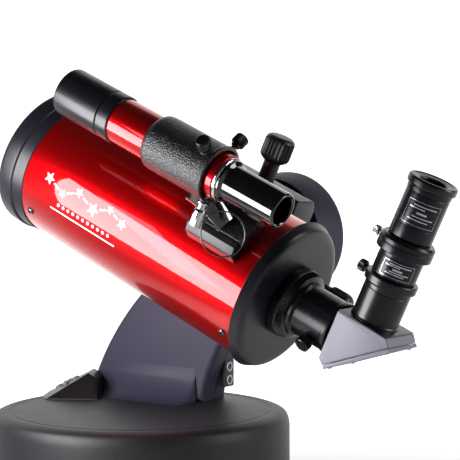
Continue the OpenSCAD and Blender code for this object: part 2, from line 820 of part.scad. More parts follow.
module barlow_screw() {
    color("silver") aimed() translate([eyepiece_x, 0, barlow_screw_z]) rotate([0, -90, 0]) {
        translate([0, 0, barrel_r + 0.35]) cylinder(h = barlow_head_r - barrel_r + 1, r = 1.5);
        translate([0, 0, barlow_head_r + 0.5]) rotate_extrude()
            polygon([[0, 0], [2.2, 0], [2.2, 2], [3.6, 2.6], [3.6, 6.4], [3, 7], [0, 7]]);
    }
}

module eyepiece() {
    color("#17161a") aimed() translate([eyepiece_x, 0, 0]) difference() {
        rotate_extrude() polygon([[0, 61], [barrel_r, 61], [barrel_r, barlow_top + 0.4],
            [eyepiece_r - 0.5, barlow_top + 0.4], [eyepiece_r, barlow_top + 1.2],
                [eyepiece_r, eyepiece_top],
            [eyecup_r - 0.6, eyepiece_top], [eyecup_r, eyepiece_top + 0.6], [eyecup_r, eyecup_top - 1.6],
            [eyecup_r - 1.4, eyecup_top], [0, eyecup_top]]);
        translate([0, 0, 60]) cylinder(h = 64, r = 13);
        translate([0, 0, 123]) cylinder(h = 20, r = 10);
    }
}

module eyepiece_lens() {
    color([0.7, 0.8, 0.9, 0.4]) aimed() translate([eyepiece_x, 0, 0]) rotate_extrude()
        polygon([[0, 124.5], [10 - eps, 126], [10 - eps, 128], [5, 130], [0, 130.5]]);
}

/* ---- finder ---- */
module finder_shoe() {
    color("#17161a") aimed() difference() {
        round_tube(shoe_angle) translate([shoe_from, -shoe_half, tube_r - 8]) difference() {
            cube([shoe_to - shoe_from, 2 * shoe_half, 19]);
            translate([-1, shoe_half - groove_half, 12]) cube([60, 2 * groove_half, 20]);
        }
        rod_x(shoe_from - 1, shoe_to + 1, tube_r);
        shoe_knob_place() translate([0, 0, -8]) cylinder(h = 12, r = 2 + running_gap);
    }
}

// The lock screw comes in from the shoe's upper side.
module shoe_knob_place() {
    round_tube(shoe_angle) translate([(shoe_from + shoe_to) / 2, shoe_half, tube_r + 7.5])
        rotate([-90, 0, 0]) children();
}

module shoe_knob() {
    color("#0f0e11") aimed() shoe_knob_place() {
        translate([0, 0, -8]) cylinder(h = 10, r = 2);
        translate([0, 0, 0.5]) rotate_extrude()
            polygon([[0, 0], [8, 0], [8, 5.5], [6.5, 7], [0, 7]]);
    }
}

module finder_bracket() {
    foot_w = groove_half - 0.3;
    color("#1b1a1e") aimed() difference() {
        union() {
            round_tube(shoe_angle) translate([shoe_from + 2, -foot_w, tube_r + 4.4])
                cube([42, 2 * foot_w, 9]);
            hull() {
                round_tube(shoe_angle) translate([shoe_from + 6, -foot_w + 1, tube_r + 12]) cube([34, 2
                    * foot_w - 2, 2]);
                round_tube(shoe_angle) translate([ring_from + 22, 4, finder_out - ring_r - 5])
                    cube([36, 10, 2]);
            }
            hull() {
                round_tube(shoe_angle) translate([ring_from + 22, 4, finder_out - ring_r - 5])
                    cube([36, 10, 2]);
                finder_place() round_tube(finder_angle) translate([ring_from + 16, -6, -ring_r + 1])
                    cube([44, 12, 2]);
            }
            finder_place() turned_x([[ring_r - 6, ring_from], [ring_r - 2.5, ring_from],
                [ring_r - 0.6, ring_from + 2.4], [ring_r, ring_from + 6], [ring_r, ring_to - 3],
                [ring_r + 0.6, ring_to - 2], [ring_r + 0.6, ring_to], [ring_r - 6, ring_to]]);
        }
        finder_place() rod_x(ring_from - 1, ring_from + 5, finder_r + slot_ease);
        finder_place() rod_x(ring_from + 5 - eps, ring_to + 1, finder_r + 1.6);
        for (side = [-45, 45]) finder_screw_place(side) cylinder(h = 40, r = 2 + running_gap);
        plunger_place() cylinder(h = 40, r = 3 + running_gap);
    }
}

module finder_screw_place(side) {
    finder_place() translate([ring_to - 9, 0, 0]) rotate([side, 0, 0]) children();
}

module plunger_place() {
    finder_place() translate([ring_to - 4.5, 0, 0]) rotate([180, 0, 0]) children();
}

module finder_screw(side, head_rise) {
    color("#0f0e11") aimed() finder_screw_place(side)
        thumbscrew(finder_r + 0.3, ring_r + head_rise, 5.5, 10);
}
module finder_screw_upper() { finder_screw(-45, 6); }
module finder_screw_near() { finder_screw(45, 2); }

module finder_plunger() {
    color("silver") aimed() plunger_place() {
        translate([0, 0, finder_r + 0.3]) cylinder(h = 4, r = 2.4);
        translate([0, 0, finder_r + 4.2]) cylinder(h = 12, r = 3);
        translate([0, 0, finder_r + 16]) rotate_extrude() polygon([[0, 0], [5, 0], [5, 8], [4, 9.5],
            [0, 9.5]]);
    }
}

module finder_tube() {
    color("#b3101c") aimed() finder_place() turned_x([[finder_r - 1.5, shade_seam - 6],
        [finder_r, shade_seam - 6],
        [finder_r, 53.5], [16.5, 53.5], [16.5, 56.5], [16, eye_from], [finder_eye_r, eye_from],
            [finder_eye_r, eye_to - 1],
        [finder_eye_r - 1, eye_to], [finder_eye_r - 3, eye_to], [finder_eye_r - 3, 52],
            [finder_r - 1.5, 52]]);
}

module finder_shade() {
    color("#131216") aimed() finder_place() turned_x([[shade_r - 1.6, shade_from],
        [shade_r, shade_from + 1],
        [shade_r, shade_seam - 0.6], [shade_r - 1, shade_seam], [finder_r + running_gap, shade_seam],
        [finder_r + running_gap, shade_seam - 6.4], [15, shade_seam - 6.4], [15, -80], [shade_r - 2.4, -84],
        [shade_r - 2.4, shade_from + 1]]);
}

module finder_lock_ring() {
    color("#131216") aimed() finder_place() turned_x([[finder_r + running_gap, shade_seam + moving_gap],
        [shade_r - 0.6, shade_seam + moving_gap], [shade_r, shade_seam + 1], [shade_r, shade_to - 0.6],
        [shade_r - 0.6, shade_to], [finder_r + running_gap, shade_to]]);
}

base_board();
rubber_feet();
azimuth_spindle();
azimuth_wheel();
turret_housing();
turret_floor();
azimuth_bearing();
azimuth_motor();
azimuth_worm();
battery_tray();
batteries();
circuit_board();
control_pod();
key_up();
key_down();
key_left();
key_right();
power_switch();
arm_inner_shell();
arm_outer_shell();
arm_frame();
arm_screws();
port_panel();
head_drum();
altitude_bearing();
altitude_motor();
altitude_worm();
altitude_wheel();
altitude_shaft();
altitude_plate();
saddle();
clamp_jaw();
clamp_knob();
dovetail_bar();
main_tube();
front_ring();
corrector_lens();
primary_mirror();
primary_baffle();
rear_cell();
tube_screws();
focus_knob();
visual_back();
visual_back_screw();
diagonal_body();
diagonal_mirror();
holder_screw();
barlow();
barlow_screw();
eyepiece();
eyepiece_lens();
finder_shoe();
shoe_knob();
finder_bracket();
finder_screw_upper();
finder_screw_near();
finder_plunger();
finder_tube();
finder_shade();
finder_lock_ring();
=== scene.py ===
"""Looks of a tabletop telescope on a single-arm mount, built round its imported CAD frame.

Lengths are millimetres in each piece's own place and become metres when a mesh is made.
A Place is an origin and three axes in the frame. TUBE, FINDER and EYE have z along an optical axis.
"""
import json
import math

import bpy
import numpy as np
from mathutils import Matrix, Vector


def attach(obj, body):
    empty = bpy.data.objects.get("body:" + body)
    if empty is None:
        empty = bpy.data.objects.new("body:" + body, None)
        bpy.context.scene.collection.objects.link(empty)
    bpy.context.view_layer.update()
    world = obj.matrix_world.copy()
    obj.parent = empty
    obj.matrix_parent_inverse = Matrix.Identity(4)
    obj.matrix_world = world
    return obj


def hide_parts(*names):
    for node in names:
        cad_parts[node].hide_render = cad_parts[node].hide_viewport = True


bl_info = {
    "name": "Tabletop Telescope Looks",
    "version": (1, 0, 0),
    "blender": (4, 5, 0),
    "location": "View3D > Sidebar > Telescope",
    "description": "Builds the finished pieces and finishes of a tabletop telescope",
    "category": "Add Mesh",
}

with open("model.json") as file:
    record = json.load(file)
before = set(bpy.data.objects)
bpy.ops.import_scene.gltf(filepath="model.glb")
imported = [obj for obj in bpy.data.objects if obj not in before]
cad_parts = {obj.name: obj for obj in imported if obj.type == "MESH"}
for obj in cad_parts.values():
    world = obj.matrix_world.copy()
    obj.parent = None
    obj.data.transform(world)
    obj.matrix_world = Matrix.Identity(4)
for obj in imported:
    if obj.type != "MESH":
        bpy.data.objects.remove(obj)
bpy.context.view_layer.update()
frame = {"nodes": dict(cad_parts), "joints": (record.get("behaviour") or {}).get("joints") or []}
MM = 0.001


def linear(code):
    """An sRGB hex colour as linear red, green and blue."""
    srgb = np.array([int(code[i:i + 2], 16) for i in (1, 3, 5)]) / 255
    return tuple(np.where(srgb <= 0.04045, srgb / 12.92, ((srgb + 0.055) / 1.055) ** 2.4))


# ---- places ----

def unit(v):
    return np.array(v, float) / np.linalg.norm(v)


class Place:
    """An origin and three axes: x and y are square to z, and x leans towards a hint."""

    def __init__(self, origin, z, hint):
        self.origin = np.array(origin, float)
        z = unit(z)
        x = unit(np.array(hint, float) - z * np.dot(hint, z))
        self.axes = np.array([x, np.cross(z, x), z])

    def world(self, points):
        """Millimetres in this place to metres in the frame."""
        return self.origin + np.asarray(points, float) @ self.axes * MM

    def local(self, points):
        return (np.asarray(points, float) - self.origin) @ self.axes.T / MM

    def at(self, point, z=None, hint=None):
        """A new place at a point of this one, with z and the hint given in this one's axes."""
        z = self.axes[2] if z is None else np.array(z, float) @ self.axes
        hint = self.axes[0] if hint is None else np.array(hint, float) @ self.axes
        return Place(self.world(point), z, hint)


def joint(name):
    return next(j for j in frame["joints"] if j["name"] == name)


ARM_SIDE = np.array(joint("altitude")["axis"], float)
BACK = np.array(joint("dovetail_slide")["axis"], float)
RISE = np.array(joint("barlow_slide")["axis"], float)
TUBE_POINT = np.array(joint("diagonal_turn")["pos_m"], float)
ALTITUDE_POINT = TUBE_POINT - BACK * np.dot(TUBE_POINT - np.array(joint("altitude")["pos_m"]), BACK)
# x towards the arm, y square to the tube and up, z back along the tube
TUBE = Place(ALTITUDE_POINT, BACK, ARM_SIDE)
# x back along the tube, y towards the arm, z square to the tube and up
AIM = Place(ALTITUDE_POINT, RISE, BACK)
# the same point, level: x back, y towards the arm, z up
HEAD = Place(ALTITUDE_POINT, (0, 0, 1), (1, 0, 0))
# z along the altitude axis towards the arm, x up
DRUM = Place(ALTITUDE_POINT, ARM_SIDE, (0, 0, 1))
BASE = Place((0, 0, 0), (0, 0, 1), (1, 0, 0))
FINDER = Place(np.array(joint("finder_shade_turn")["pos_m"])
               - BACK * np.dot(np.array(joint("finder_shade_turn")["pos_m"]) - ALTITUDE_POINT, BACK),
               BACK, ARM_SIDE)


def reach(node, place):
    """A CAD node's lowest and highest corners in a place, and its largest radius about z."""
    mesh = frame["nodes"][node].data
    points = np.empty(len(mesh.vertices) * 3)
    mesh.vertices.foreach_get("co", points)
    points = place.local(points.reshape(-1, 3))
    return points.min(0), points.max(0), np.hypot(points[:, 0], points[:, 1]).max()


EYE_X = float(np.mean([v[0] for v in reach("eyepiece_lens", AIM)[:2]]))
# z along the eyepiece axis from the tube's axis, x back along the tube
EYE = AIM.at((EYE_X, 0, 0))


# ---- shapes: each returns points in millimetres and faces ----

def rounded(points, radius=0.4, steps=4):
    """A line of (a, b) or (a, b, own radius) with each inner corner eased by a parabola through it."""
    rows = [(p[0], p[1], p[2] if len(p) > 2 else radius) for p in points]
    line = [np.array(rows[0][:2], float)]
    t = np.linspace(0, 1, steps + 1)[:, None]
    for before, here, after in zip(rows, rows[1:], rows[2:]):
        a, b, c = (np.array(q[:2], float) for q in (before, here, after))
        to_a, to_c = np.linalg.norm(a - b), np.linalg.norm(c - b)
        reach_a, reach_c = min(here[2], to_a * 0.48), min(here[2], to_c * 0.48)
        if reach_a < 1e-6 or reach_c < 1e-6:
            line.append(b)
            continue
        start, end = b + (a - b) / to_a * reach_a, b + (c - b) / to_c * reach_c
        line.extend((1 - t) ** 2 * start + 2 * t * (1 - t) * b + t ** 2 * end)
    line.append(np.array(rows[-1][:2], float))
    return np.array(line)


def rounded_loop(points, radius=0.4, steps=4):
    """A closed outline with every corner eased."""
    rows = list(points)
    line = rounded([rows[-1]] + rows + [rows[0]], radius, steps)
    return line[1:-1]


def grid_faces(rows, columns, wrap_rows=False):
    """Quads of a grid whose columns close on themselves."""
    r = np.arange(rows if wrap_rows else rows - 1)[:, None]
    c = np.arange(columns)[None, :]
    r2, c2 = (r + 1) % rows, (c + 1) % columns
    return np.stack([r * columns + c, r * columns + c2, r2 * columns + c2, r2 * columns + c],
                    -1).reshape(-1, 4)


def turned(line, sides=96, ripple=None):
    """Surface of revolution: (r cos a, r sin a, z) for each (r, z) of the line.

    A line that starts and ends on the axis closes at poles; any other closes on itself as a ring.
    ripple is (count, depth, from, to): r loses depth * (1 + cos(count * a)) / 2 for z between the two.
    """
    line = np.asarray(line, float)
    ends = line[0, 0] < 1e-6 and line[-1, 0] < 1e-6
    body = line[1:-1] if ends else line
    angle = np.arange(sides) * 2 * math.pi / sides
    r = np.repeat(body[:, :1], sides, 1)
    z = np.repeat(body[:, 1:], sides, 1)
    if ripple:
        count, depth, low, high = ripple
        inside = ((body[:, 1] > low) & (body[:, 1] < high) & (body[:, 0] > body[:, 0].max() * 0.8))[:, None]
        r = r - inside * depth * (0.5 + 0.5 * np.cos(count * angle)) ** 0.7
    points = np.stack([r * np.cos(angle), r * np.sin(angle), z], -1).reshape(-1, 3)
    faces = grid_faces(len(body), sides, wrap_rows=not ends).tolist()
    if ends:
        first, last = len(points), len(points) + 1
        points = np.vstack([points, [[0, 0, line[0, 1]], [0, 0, line[-1, 1]]]])
        c = np.arange(sides)
        top = (len(body) - 1) * sides
        faces += np.stack([c * 0 + first, (c + 1) % sides, c], -1).tolist()
        faces += np.stack([c * 0 + last, top + c, top + (c + 1) % sides], -1).tolist()
    return points, faces


def inward(outline):
    """Unit normals that point into a closed outline."""
    ahead = np.roll(outline, -1, 0) - outline
    behind = outline - np.roll(outline, 1, 0)
    ahead /= np.maximum(np.linalg.norm(ahead, axis=1, keepdims=True), 1e-9)
    behind /= np.maximum(np.linalg.norm(behind, axis=1, keepdims=True), 1e-9)
    tangent = ahead + behind
    tangent /= np.maximum(np.linalg.norm(tangent, axis=1, keepdims=True), 1e-9)
    x, y = outline.T
    turn = np.sign(np.sum(x * np.roll(y, -1) - np.roll(x, -1) * y))
    return turn * np.stack([-tangent[:, 1], tangent[:, 0]], -1)


def lofted(outline, levels):
    """A closed outline in x and y carried through (inset, z) levels, with both ends capped.

    Point = outline + inset * inward normal at height z. Levels that come back down inside make a shell.
    """
    outline = np.asarray(outline, float)
    normal = inward(outline)
    levels = np.asarray(levels, float)
    rings = outline[None] + levels[:, :1, None] * normal[None]
    z = np.broadcast_to(levels[:, 1][:, None, None], rings.shape[:2] + (1,))
    points = np.concatenate([rings, z], -1).reshape(-1, 3)
    count = len(outline)
    faces = grid_faces(len(levels), count).tolist()
    faces.append(list(range(count))[::-1])
    faces.append([(len(levels) - 1) * count + i for i in range(count)])
    return points, faces


def plate(outline, low, high, edge=0.6, steps=4):
    """A solid slab of an outline from low to high with rounded rims."""
    a = np.linspace(0, math.pi / 2, steps + 1)
    rise = [(edge * (1 - math.sin(t)), low + edge * (1 - math.cos(t))) for t in a]
    fall = [(edge * (1 - math.cos(t)), high - edge * (1 - math.sin(t))) for t in a]
    return lofted(outline, rise + fall)


def box_outline(x0, x1, y0, y1, corner=1.0):
    return rounded_loop([(x0, y0), (x1, y0), (x1, y1), (x0, y1)], corner)


def swept(path, width, height, up, power=4.0, around=24):
    """A superellipse section carried along a path.

    Section point = (|cos|^(2/p) * width/2, |sin|^(2/p) * height/2), square to the path, one axis up.
    """
    path = np.asarray(path, float)
    width = np.broadcast_to(width, len(path))
    height = np.broadcast_to(height, len(path))
    ahead = np.gradient(path, axis=0)
    ahead /= np.linalg.norm(ahead, axis=1, keepdims=True)
    side = np.cross(ahead, up)
    side /= np.linalg.norm(side, axis=1, keepdims=True)
    over = np.cross(side, ahead)
    t = np.arange(around) * 2 * math.pi / around
    c = np.sign(np.cos(t)) * np.abs(np.cos(t)) ** (2 / power) / 2
    s = np.sign(np.sin(t)) * np.abs(np.sin(t)) ** (2 / power) / 2
    rings = (path[:, None] + side[:, None] * (width[:, None] * c)[..., None]
             + over[:, None] * (height[:, None] * s)[..., None])
    points = rings.reshape(-1, 3)
    faces = grid_faces(len(path), around).tolist()
    faces.append(list(range(around))[::-1])
    faces.append([(len(path) - 1) * around + i for i in range(around)])
    return points, faces


def outward(points, faces):
    """The faces, turned over if the solid they close is inside out."""
    volume = 0.0
    sizes = {}
    for face in faces:
        sizes.setdefault(len(face), []).append(face)
    for size, group in sizes.items():
        corner = points[np.array(group)]
        for k in range(1, size - 1):
            volume += np.einsum("ij,ij->i", corner[:, 0], np.cross(corner[:, k], corner[:, k + 1])).sum()
    return [list(f)[::-1] for f in faces] if volume < 0 else faces


def piece(name, solids, body, finish, stands_for=(), sharp=32):
    """Joins solids, each (place, (points, faces)), into one finished object that rides on a body."""
    points, faces, start = [], [], 0
    for place, (p, f) in solids:
        p = place.world(p)
        faces += [[start + i for i in face] for face in outward(p - p.mean(0), f)]
        points.append(p)
        start += len(p)
    mesh = bpy.data.meshes.new(name)
    mesh.from_pydata(np.vstack(points).tolist(), [], faces)
    mesh.shade_smooth()
    mesh.set_sharp_from_angle(angle=math.radians(sharp))
    mesh.materials.append(finish)
    made = bpy.data.objects.new(name, mesh)
    bpy.context.scene.collection.objects.link(made)
    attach(made, body)
    if stands_for:
        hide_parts(*stands_for)
    return made


def dress(finish, *nodes):
    """Gives CAD nodes that stay as they are a finish."""
    for name in nodes:
        slots = frame["nodes"][name].data.materials
        if len(slots) == 0:
            slots.append(finish)
        for i in range(len(slots)):
            slots[i] = finish


# ---- finishes ----

FINISHES = {}


def add_node(tree, kind, settings=None, **links):
    """Adds a node, sets its properties and sockets, and links named inputs from other nodes' outputs."""
    made = tree.nodes.new(kind)
    for key, value in (settings or {}).items():
        if hasattr(made, key) and key not in made.inputs:
            setattr(made, key, value)
        else:
            made.inputs[key].default_value = value
    for key, source in links.items():
        tree.links.new(source, made.inputs[key.replace("_", " ")])
    return made


def start_finish(name, colour, roughness, metallic=0.0, **shader):
    """A material with its principled shader's own sockets set; returns it with its tree and shader."""
    material = bpy.data.materials.new(name)
    material.use_nodes = True
    tree = material.node_tree
    principled = tree.nodes["Principled BSDF"]
    principled.inputs["Base Color"].default_value = (*colour, 1)
    principled.inputs["Roughness"].default_value = roughness
    principled.inputs["Metallic"].default_value = metallic
    for key, value in shader.items():
        principled.inputs[key.replace("_", " ")].default_value = value
    material.diffuse_color = (*colour, 1)
    return material, tree, principled


def grain(tree, shader, size_mm, height_mm, roughness=None, spread=0.0, colour=None,
          kind="ShaderNodeTexNoise",
          detail=2.0):
    """Surface grain of a real size: bump, a roughness that wanders, and a colour that wanders."""
    place = add_node(tree, "ShaderNodeTexCoord")
    scale = 1 / (size_mm * MM)
    pattern = add_node(tree, kind, {"Scale": scale, **({"Detail": detail} if "Noise" in kind else {})},
                       Vector=place.outputs["Object"])
    value = pattern.outputs["Fac"] if "Noise" in kind else pattern.outputs["Distance"]
    bump = add_node(tree, "ShaderNodeBump", {"Strength": 1.0, "Distance": height_mm * MM}, Height=value)
    tree.links.new(bump.outputs["Normal"], shader.inputs["Normal"])
    broad = add_node(tree, "ShaderNodeTexNoise", {"Scale": scale / 30, "Detail": 4.0},
                     Vector=place.outputs["Object"])
    if roughness is not None:
        ramp = add_node(tree, "ShaderNodeMapRange",
                        {"To Min": roughness - spread, "To Max": roughness + spread},
                        Value=broad.outputs["Fac"])
        tree.links.new(ramp.outputs["Result"], shader.inputs["Roughness"])
    if colour is not None:
        mix = add_node(tree, "ShaderNodeMix", {"data_type": "RGBA"})
        for socket, code in zip([s for s in mix.inputs if s.type == "RGBA"], colour):
            socket.default_value = (*linear(code), 1)
        tree.links.new(broad.outputs["Fac"], mix.inputs["Factor"])
        out = next(s for s in mix.outputs if s.type == "RGBA")
        tree.links.new(out, shader.inputs["Base Color"])
    return pattern


def red_enamel():
    """Metallic enamel over aluminium: fine flake under a clear, hard, very glossy coat."""
    colours = bpy.context.scene.telescope_colours
    material, tree, shader = start_finish("red_metallic_enamel", colours.tube_red, 0.3, 0.85,
                                          Specular_IOR_Level=0.0, Coat_Weight=1.0, Coat_Roughness=0.03,
                                          Coat_IOR=1.38)
    place = add_node(tree, "ShaderNodeTexCoord")
    # Flake is about 0.05 mm; drawn at 0.5 mm so that it shows as a faint sparkle
    flake = add_node(tree, "ShaderNodeTexVoronoi", {"Scale": 1 / (0.5 * MM)},
                     Vector=place.outputs["Object"])
    rough = add_node(tree, "ShaderNodeMapRange", {"To Min": 0.24, "To Max": 0.38},
                     Value=flake.outputs["Distance"])
    tree.links.new(rough.outputs["Result"], shader.inputs["Roughness"])
    # Orange peel of a sprayed coat, about 3 mm across and a micron high
    peel = add_node(tree, "ShaderNodeTexNoise", {"Scale": 1 / (3 * MM), "Detail": 1.0},
                    Vector=place.outputs["Object"])
    bump = add_node(tree, "ShaderNodeBump", {"Strength": 0.25, "Distance": 0.02 * MM},
                    Height=peel.outputs["Fac"])
    tree.links.new(bump.outputs["Normal"], shader.inputs["Coat Normal"])
    return material


def simple_finish(name, code, second, roughness, spread, size_mm, height_mm, metallic=0.0, **shader):
    """A finish with grain, wandering roughness and a slight drift between two colours."""
    material, tree, principled = start_finish(name, linear(code), roughness, metallic, **shader)
    grain(tree, principled, size_mm, height_mm, roughness, spread, (code, second))
    return material


def wrinkle_paint():
    """Wrinkle-finish black paint on a casting: hard ridges 1 mm apart that break up the highlight."""
    material, tree, shader = start_finish("wrinkle_paint", linear("#0e0d11"), 0.3, 0.0)
    # The ridges are drawn 1.3 mm apart so that they show
    grain(tree, shader, 1.3, 0.9, 0.3, 0.05, ("#0b0a0d", "#121116"), detail=3.0)
    return material


def clear_glass():
    """Coated optical glass: clear with a faint green-blue bloom from its coating."""
    material, tree, shader = start_finish("coated_glass", linear("#e4f2ee"), 0.02, 0.0,
                                          Transmission_Weight=1.0,
                                          IOR=1.517, Coat_Weight=0.4, Coat_Roughness=0.01)
    grain(tree, shader, 40, 0.001)
    return material


def circuit_mask():
    """Solder mask over copper: green gloss with square-cornered tracks."""
    material, tree, shader = start_finish("solder_mask", linear("#14492c"), 0.35)
    place = add_node(tree, "ShaderNodeTexCoord")
    brick = add_node(tree, "ShaderNodeTexBrick", {"Scale": 1 / (14 * MM), "Color1": (*linear("#14492c"), 1),
                                                  "Color2": (*linear("#185836"), 1),
                                                  "Mortar": (*linear("#2f7a4b"), 1),
                                                  "Mortar Size": 0.03}, Vector=place.outputs["Object"])
    tree.links.new(brick.outputs["Color"], shader.inputs["Base Color"])
    return material


def make_finishes():
    f = FINISHES
    f["red"] = red_enamel()
    f["wrinkle"] = wrinkle_paint()
    f["glass"] = clear_glass()
    f["circuit"] = circuit_mask()
    # Satin black paint on turned aluminium: soft sheen, barely any grain
    f["satin"] = simple_finish("satin_black_paint", "#0c0b0f", "#121116", 0.3, 0.05, 0.25, 0.004,
                               Specular_IOR_Level=0.3, Coat_Weight=0.12, Coat_Roughness=0.22)
    # Coarser satin paint on the cells: a purple-grey bloom in the light
    f["cell"] = simple_finish("cell_black_paint", "#121017", "#1a1821", 0.36, 0.05, 0.35, 0.012,
                              Specular_IOR_Level=0.35)
    # Black anodised aluminium: tighter, slightly metallic sheen
    f["anodised"] = simple_finish("black_anodised_aluminium", "#0e0d12", "#15141a", 0.27, 0.04, 0.2, 0.003,
                                  0.2,
                                  Specular_IOR_Level=0.35)
    f["grey_anodised"] = simple_finish("grey_anodised_aluminium", "#4a4a50", "#54545b", 0.34, 0.05, 0.2,
                                       0.004, 0.8)
    # Gloss black moulding, as on the eyepiece tube of the finder
    f["gloss"] = simple_finish("gloss_black_moulding", "#070709", "#0b0b0e", 0.07, 0.03, 4, 0.004,
                               Coat_Weight=0.6,
                               Coat_Roughness=0.03)
    # Spark-eroded ABS of the arm and turret: fine even grain that kills the highlight
    f["shell"] = simple_finish("spark_eroded_abs", "#2c293a", "#332f42", 0.55, 0.05, 0.45, 0.03,
                               Specular_IOR_Level=0.3)
    f["turret"] = simple_finish("moulded_black_abs", "#0e0d10", "#131216", 0.5, 0.05, 0.5, 0.03,
                                Specular_IOR_Level=0.35)
    f["moulded"] = simple_finish("fine_black_moulding", "#100f13", "#161519", 0.38, 0.06, 0.4, 0.015,
                                 Specular_IOR_Level=0.35)
    # Nitrile rubber: dull, with no highlight
    f["rubber"] = simple_finish("nitrile_rubber", "#101011", "#171718", 0.75, 0.08, 0.6, 0.03)
    # Softer moulded rubber of the eyecup: a low sheen along its rim
    f["soft_rubber"] = simple_finish("eyecup_rubber", "#09090b", "#0f0e11", 0.3, 0.08, 0.5, 0.01,
                                     Specular_IOR_Level=0.4)
    # Silicone keys: pale grey and quite dull
    f["keys"] = simple_finish("silicone_keys", "#6d6f76", "#777981", 0.55, 0.05, 0.5, 0.01)
    # Injection-moulded switch: smooth, bright red
    f["red_switch"] = simple_finish("red_switch_moulding", "#8f1016", "#a1161c", 0.25, 0.05, 1.0, 0.004)
    # Pearl grey baked paint with a fine texture on the diagonal's casting
    f["pearl"] = simple_finish("pearl_grey_paint", "#76727f", "#817c8b", 0.5, 0.05, 0.9, 0.05)
    # Ground steel: a blurred grey reflection
    f["steel"] = simple_finish("ground_steel", "#9a9ba0", "#a9aaaf", 0.28, 0.06, 0.3, 0.004, 1.0)
    # Polished chrome: a sharp, nearly white reflection
    f["chrome"] = simple_finish("polished_chrome", "#c9cacd", "#d6d7da", 0.08, 0.03, 2.0, 0.003, 1.0)
    # Machined brass: a warm, slightly blurred reflection
    f["brass"] = simple_finish("machined_brass", "#a88a4a", "#b79a58", 0.3, 0.06, 0.3, 0.004, 1.0)
    # As-cast aluminium: coarse and pale
    f["cast"] = simple_finish("cast_aluminium", "#85878c", "#95979c", 0.5, 0.08, 0.8, 0.05, 1.0)
    # Aluminium on polished glass: a clean reflection
    f["mirror"] = simple_finish("aluminised_glass", "#dfe3e8", "#e8ebef", 0.02, 0.005, 30, 0.0005, 1.0)
    # Printed film round the cells: smooth slate blue
    f["sleeve"] = simple_finish("battery_sleeve", "#2f3d4a", "#384856", 0.22, 0.04, 2.0, 0.004)
    # Screen-printed ink: flat white over the enamel
    f["ink"] = simple_finish("white_screen_print", "#f2f0f2", "#e9e6ea", 0.35, 0.05, 0.3, 0.003)
    # Foil print on the labels: thin silver that catches the light
    f["silver_ink"] = simple_finish("silver_foil_print", "#b9b9c2", "#c8c8d0", 0.3, 0.05, 0.3, 0.003, 0.8)
    # Flocking inside the light path: it returns almost nothing
    f["dark"] = simple_finish("flocked_black", "#050505", "#080808", 0.9, 0.05, 0.5, 0.03)


# ---- settings ----

class TelescopeSizes(bpy.types.PropertyGroup):
    """Rib counts and camera settings that a user may change; each says its own unit."""
    collar_ribs: bpy.props.IntProperty(name="Collar ribs",
                                       description="Ribs round the visual back's collar",
                                       default=90, min=40, max=140)
    knob_ribs: bpy.props.IntProperty(name="Knob ribs", description="Ribs round the clamp knob", default=24,
                                     min=12,
                                     max=40)
    camera_distance: bpy.props.FloatProperty(name="Camera distance", description="Camera to the aim point",
                                             default=1.145, unit="LENGTH")
    camera_azimuth: bpy.props.FloatProperty(name="Camera azimuth",
                                            description="Turn of the camera round the part",
                                            default=math.radians(34.16), subtype="ANGLE")
    camera_elevation: bpy.props.FloatProperty(name="Camera elevation", description="Camera above level",
                                              default=math.radians(1.88), subtype="ANGLE")
    camera_lens: bpy.props.FloatProperty(name="Lens", description="Focal length in millimetres",
                                         default=111.8)


class TelescopeColours(bpy.types.PropertyGroup):
    """Colours that a user may change."""
    tube_red: bpy.props.FloatVectorProperty(name="Tube red",
                                            description="Enamel of the main and finder tubes",
                                            subtype="COLOR", default=linear("#b4050a"))
    floor: bpy.props.FloatVectorProperty(name="Floor", description="Pale studio sweep", subtype="COLOR",
                                         default=linear("#f7f7f8"))


def sizes():
    return bpy.context.scene.telescope_sizes


# ---- places that pieces share ----

# x back along the tube, y up square to it, z away from the arm
SIDE = Place(ALTITUDE_POINT, -ARM_SIDE, BACK)
# the same, level
LEVEL = Place(ALTITUDE_POINT, -ARM_SIDE, (1, 0, 0))


def joint_place(name):
    """A place on a joint's axis; its x leans a way that no joint of this instrument points."""
    found = joint(name)
    return Place(found["pos_m"], found["axis"], BACK + 0.5 * ARM_SIDE + 0.25 * RISE)


def finder_spoke(name):
    """A place on the finder's axis with z out along one of the three spokes that centre the finder."""
    low, high, _ = reach(name.rsplit("_", 1)[0], FINDER)
    station = (low[2] + high[2]) / 2
    return Place(FINDER.world((0, 0, station)), joint(name)["axis"], BACK)


def wrap(solid, radius, angle, along):
    """Bends a flat solid round a tube: x runs along z, y runs round from an angle, z is its height."""
    points, faces = solid
    turn = angle + points[:, 1] / radius
    r = radius + points[:, 2]
    return np.stack([r * np.cos(turn), r * np.sin(turn), points[:, 0] + along], -1), faces


def screw_line(tip, seat, top, shank, neck, head):
    """Profile of a thumbscrew: shank, neck and a head with a dished face."""
    return rounded([(0, tip), (shank, tip, 0.2), (shank, seat), (neck, seat, 0.2), (neck, seat + 2, 0.3),
                    (head - 0.7, seat + 2.1, 0.4), (head, seat + 2.9, 0.3), (head, top - 0.8, 0.3),
                    (head - 0.8, top, 0.3), (head - 1.5, top - 0.5, 0.2), (0, top - 0.5)], 0.3)


# ---- optical tube ----

def build_main_tube():
    low, high, r = reach("main_tube", TUBE)
    wall = 1.6
    line = rounded_loop([(r, low[2]), (r, high[2]), (r - wall, high[2]), (r - wall, low[2])], 0.3)
    piece("enamelled_tube", [(TUBE, turned(line, 192))], "optical_tube", FINISHES["red"],
          ["main_tube"])


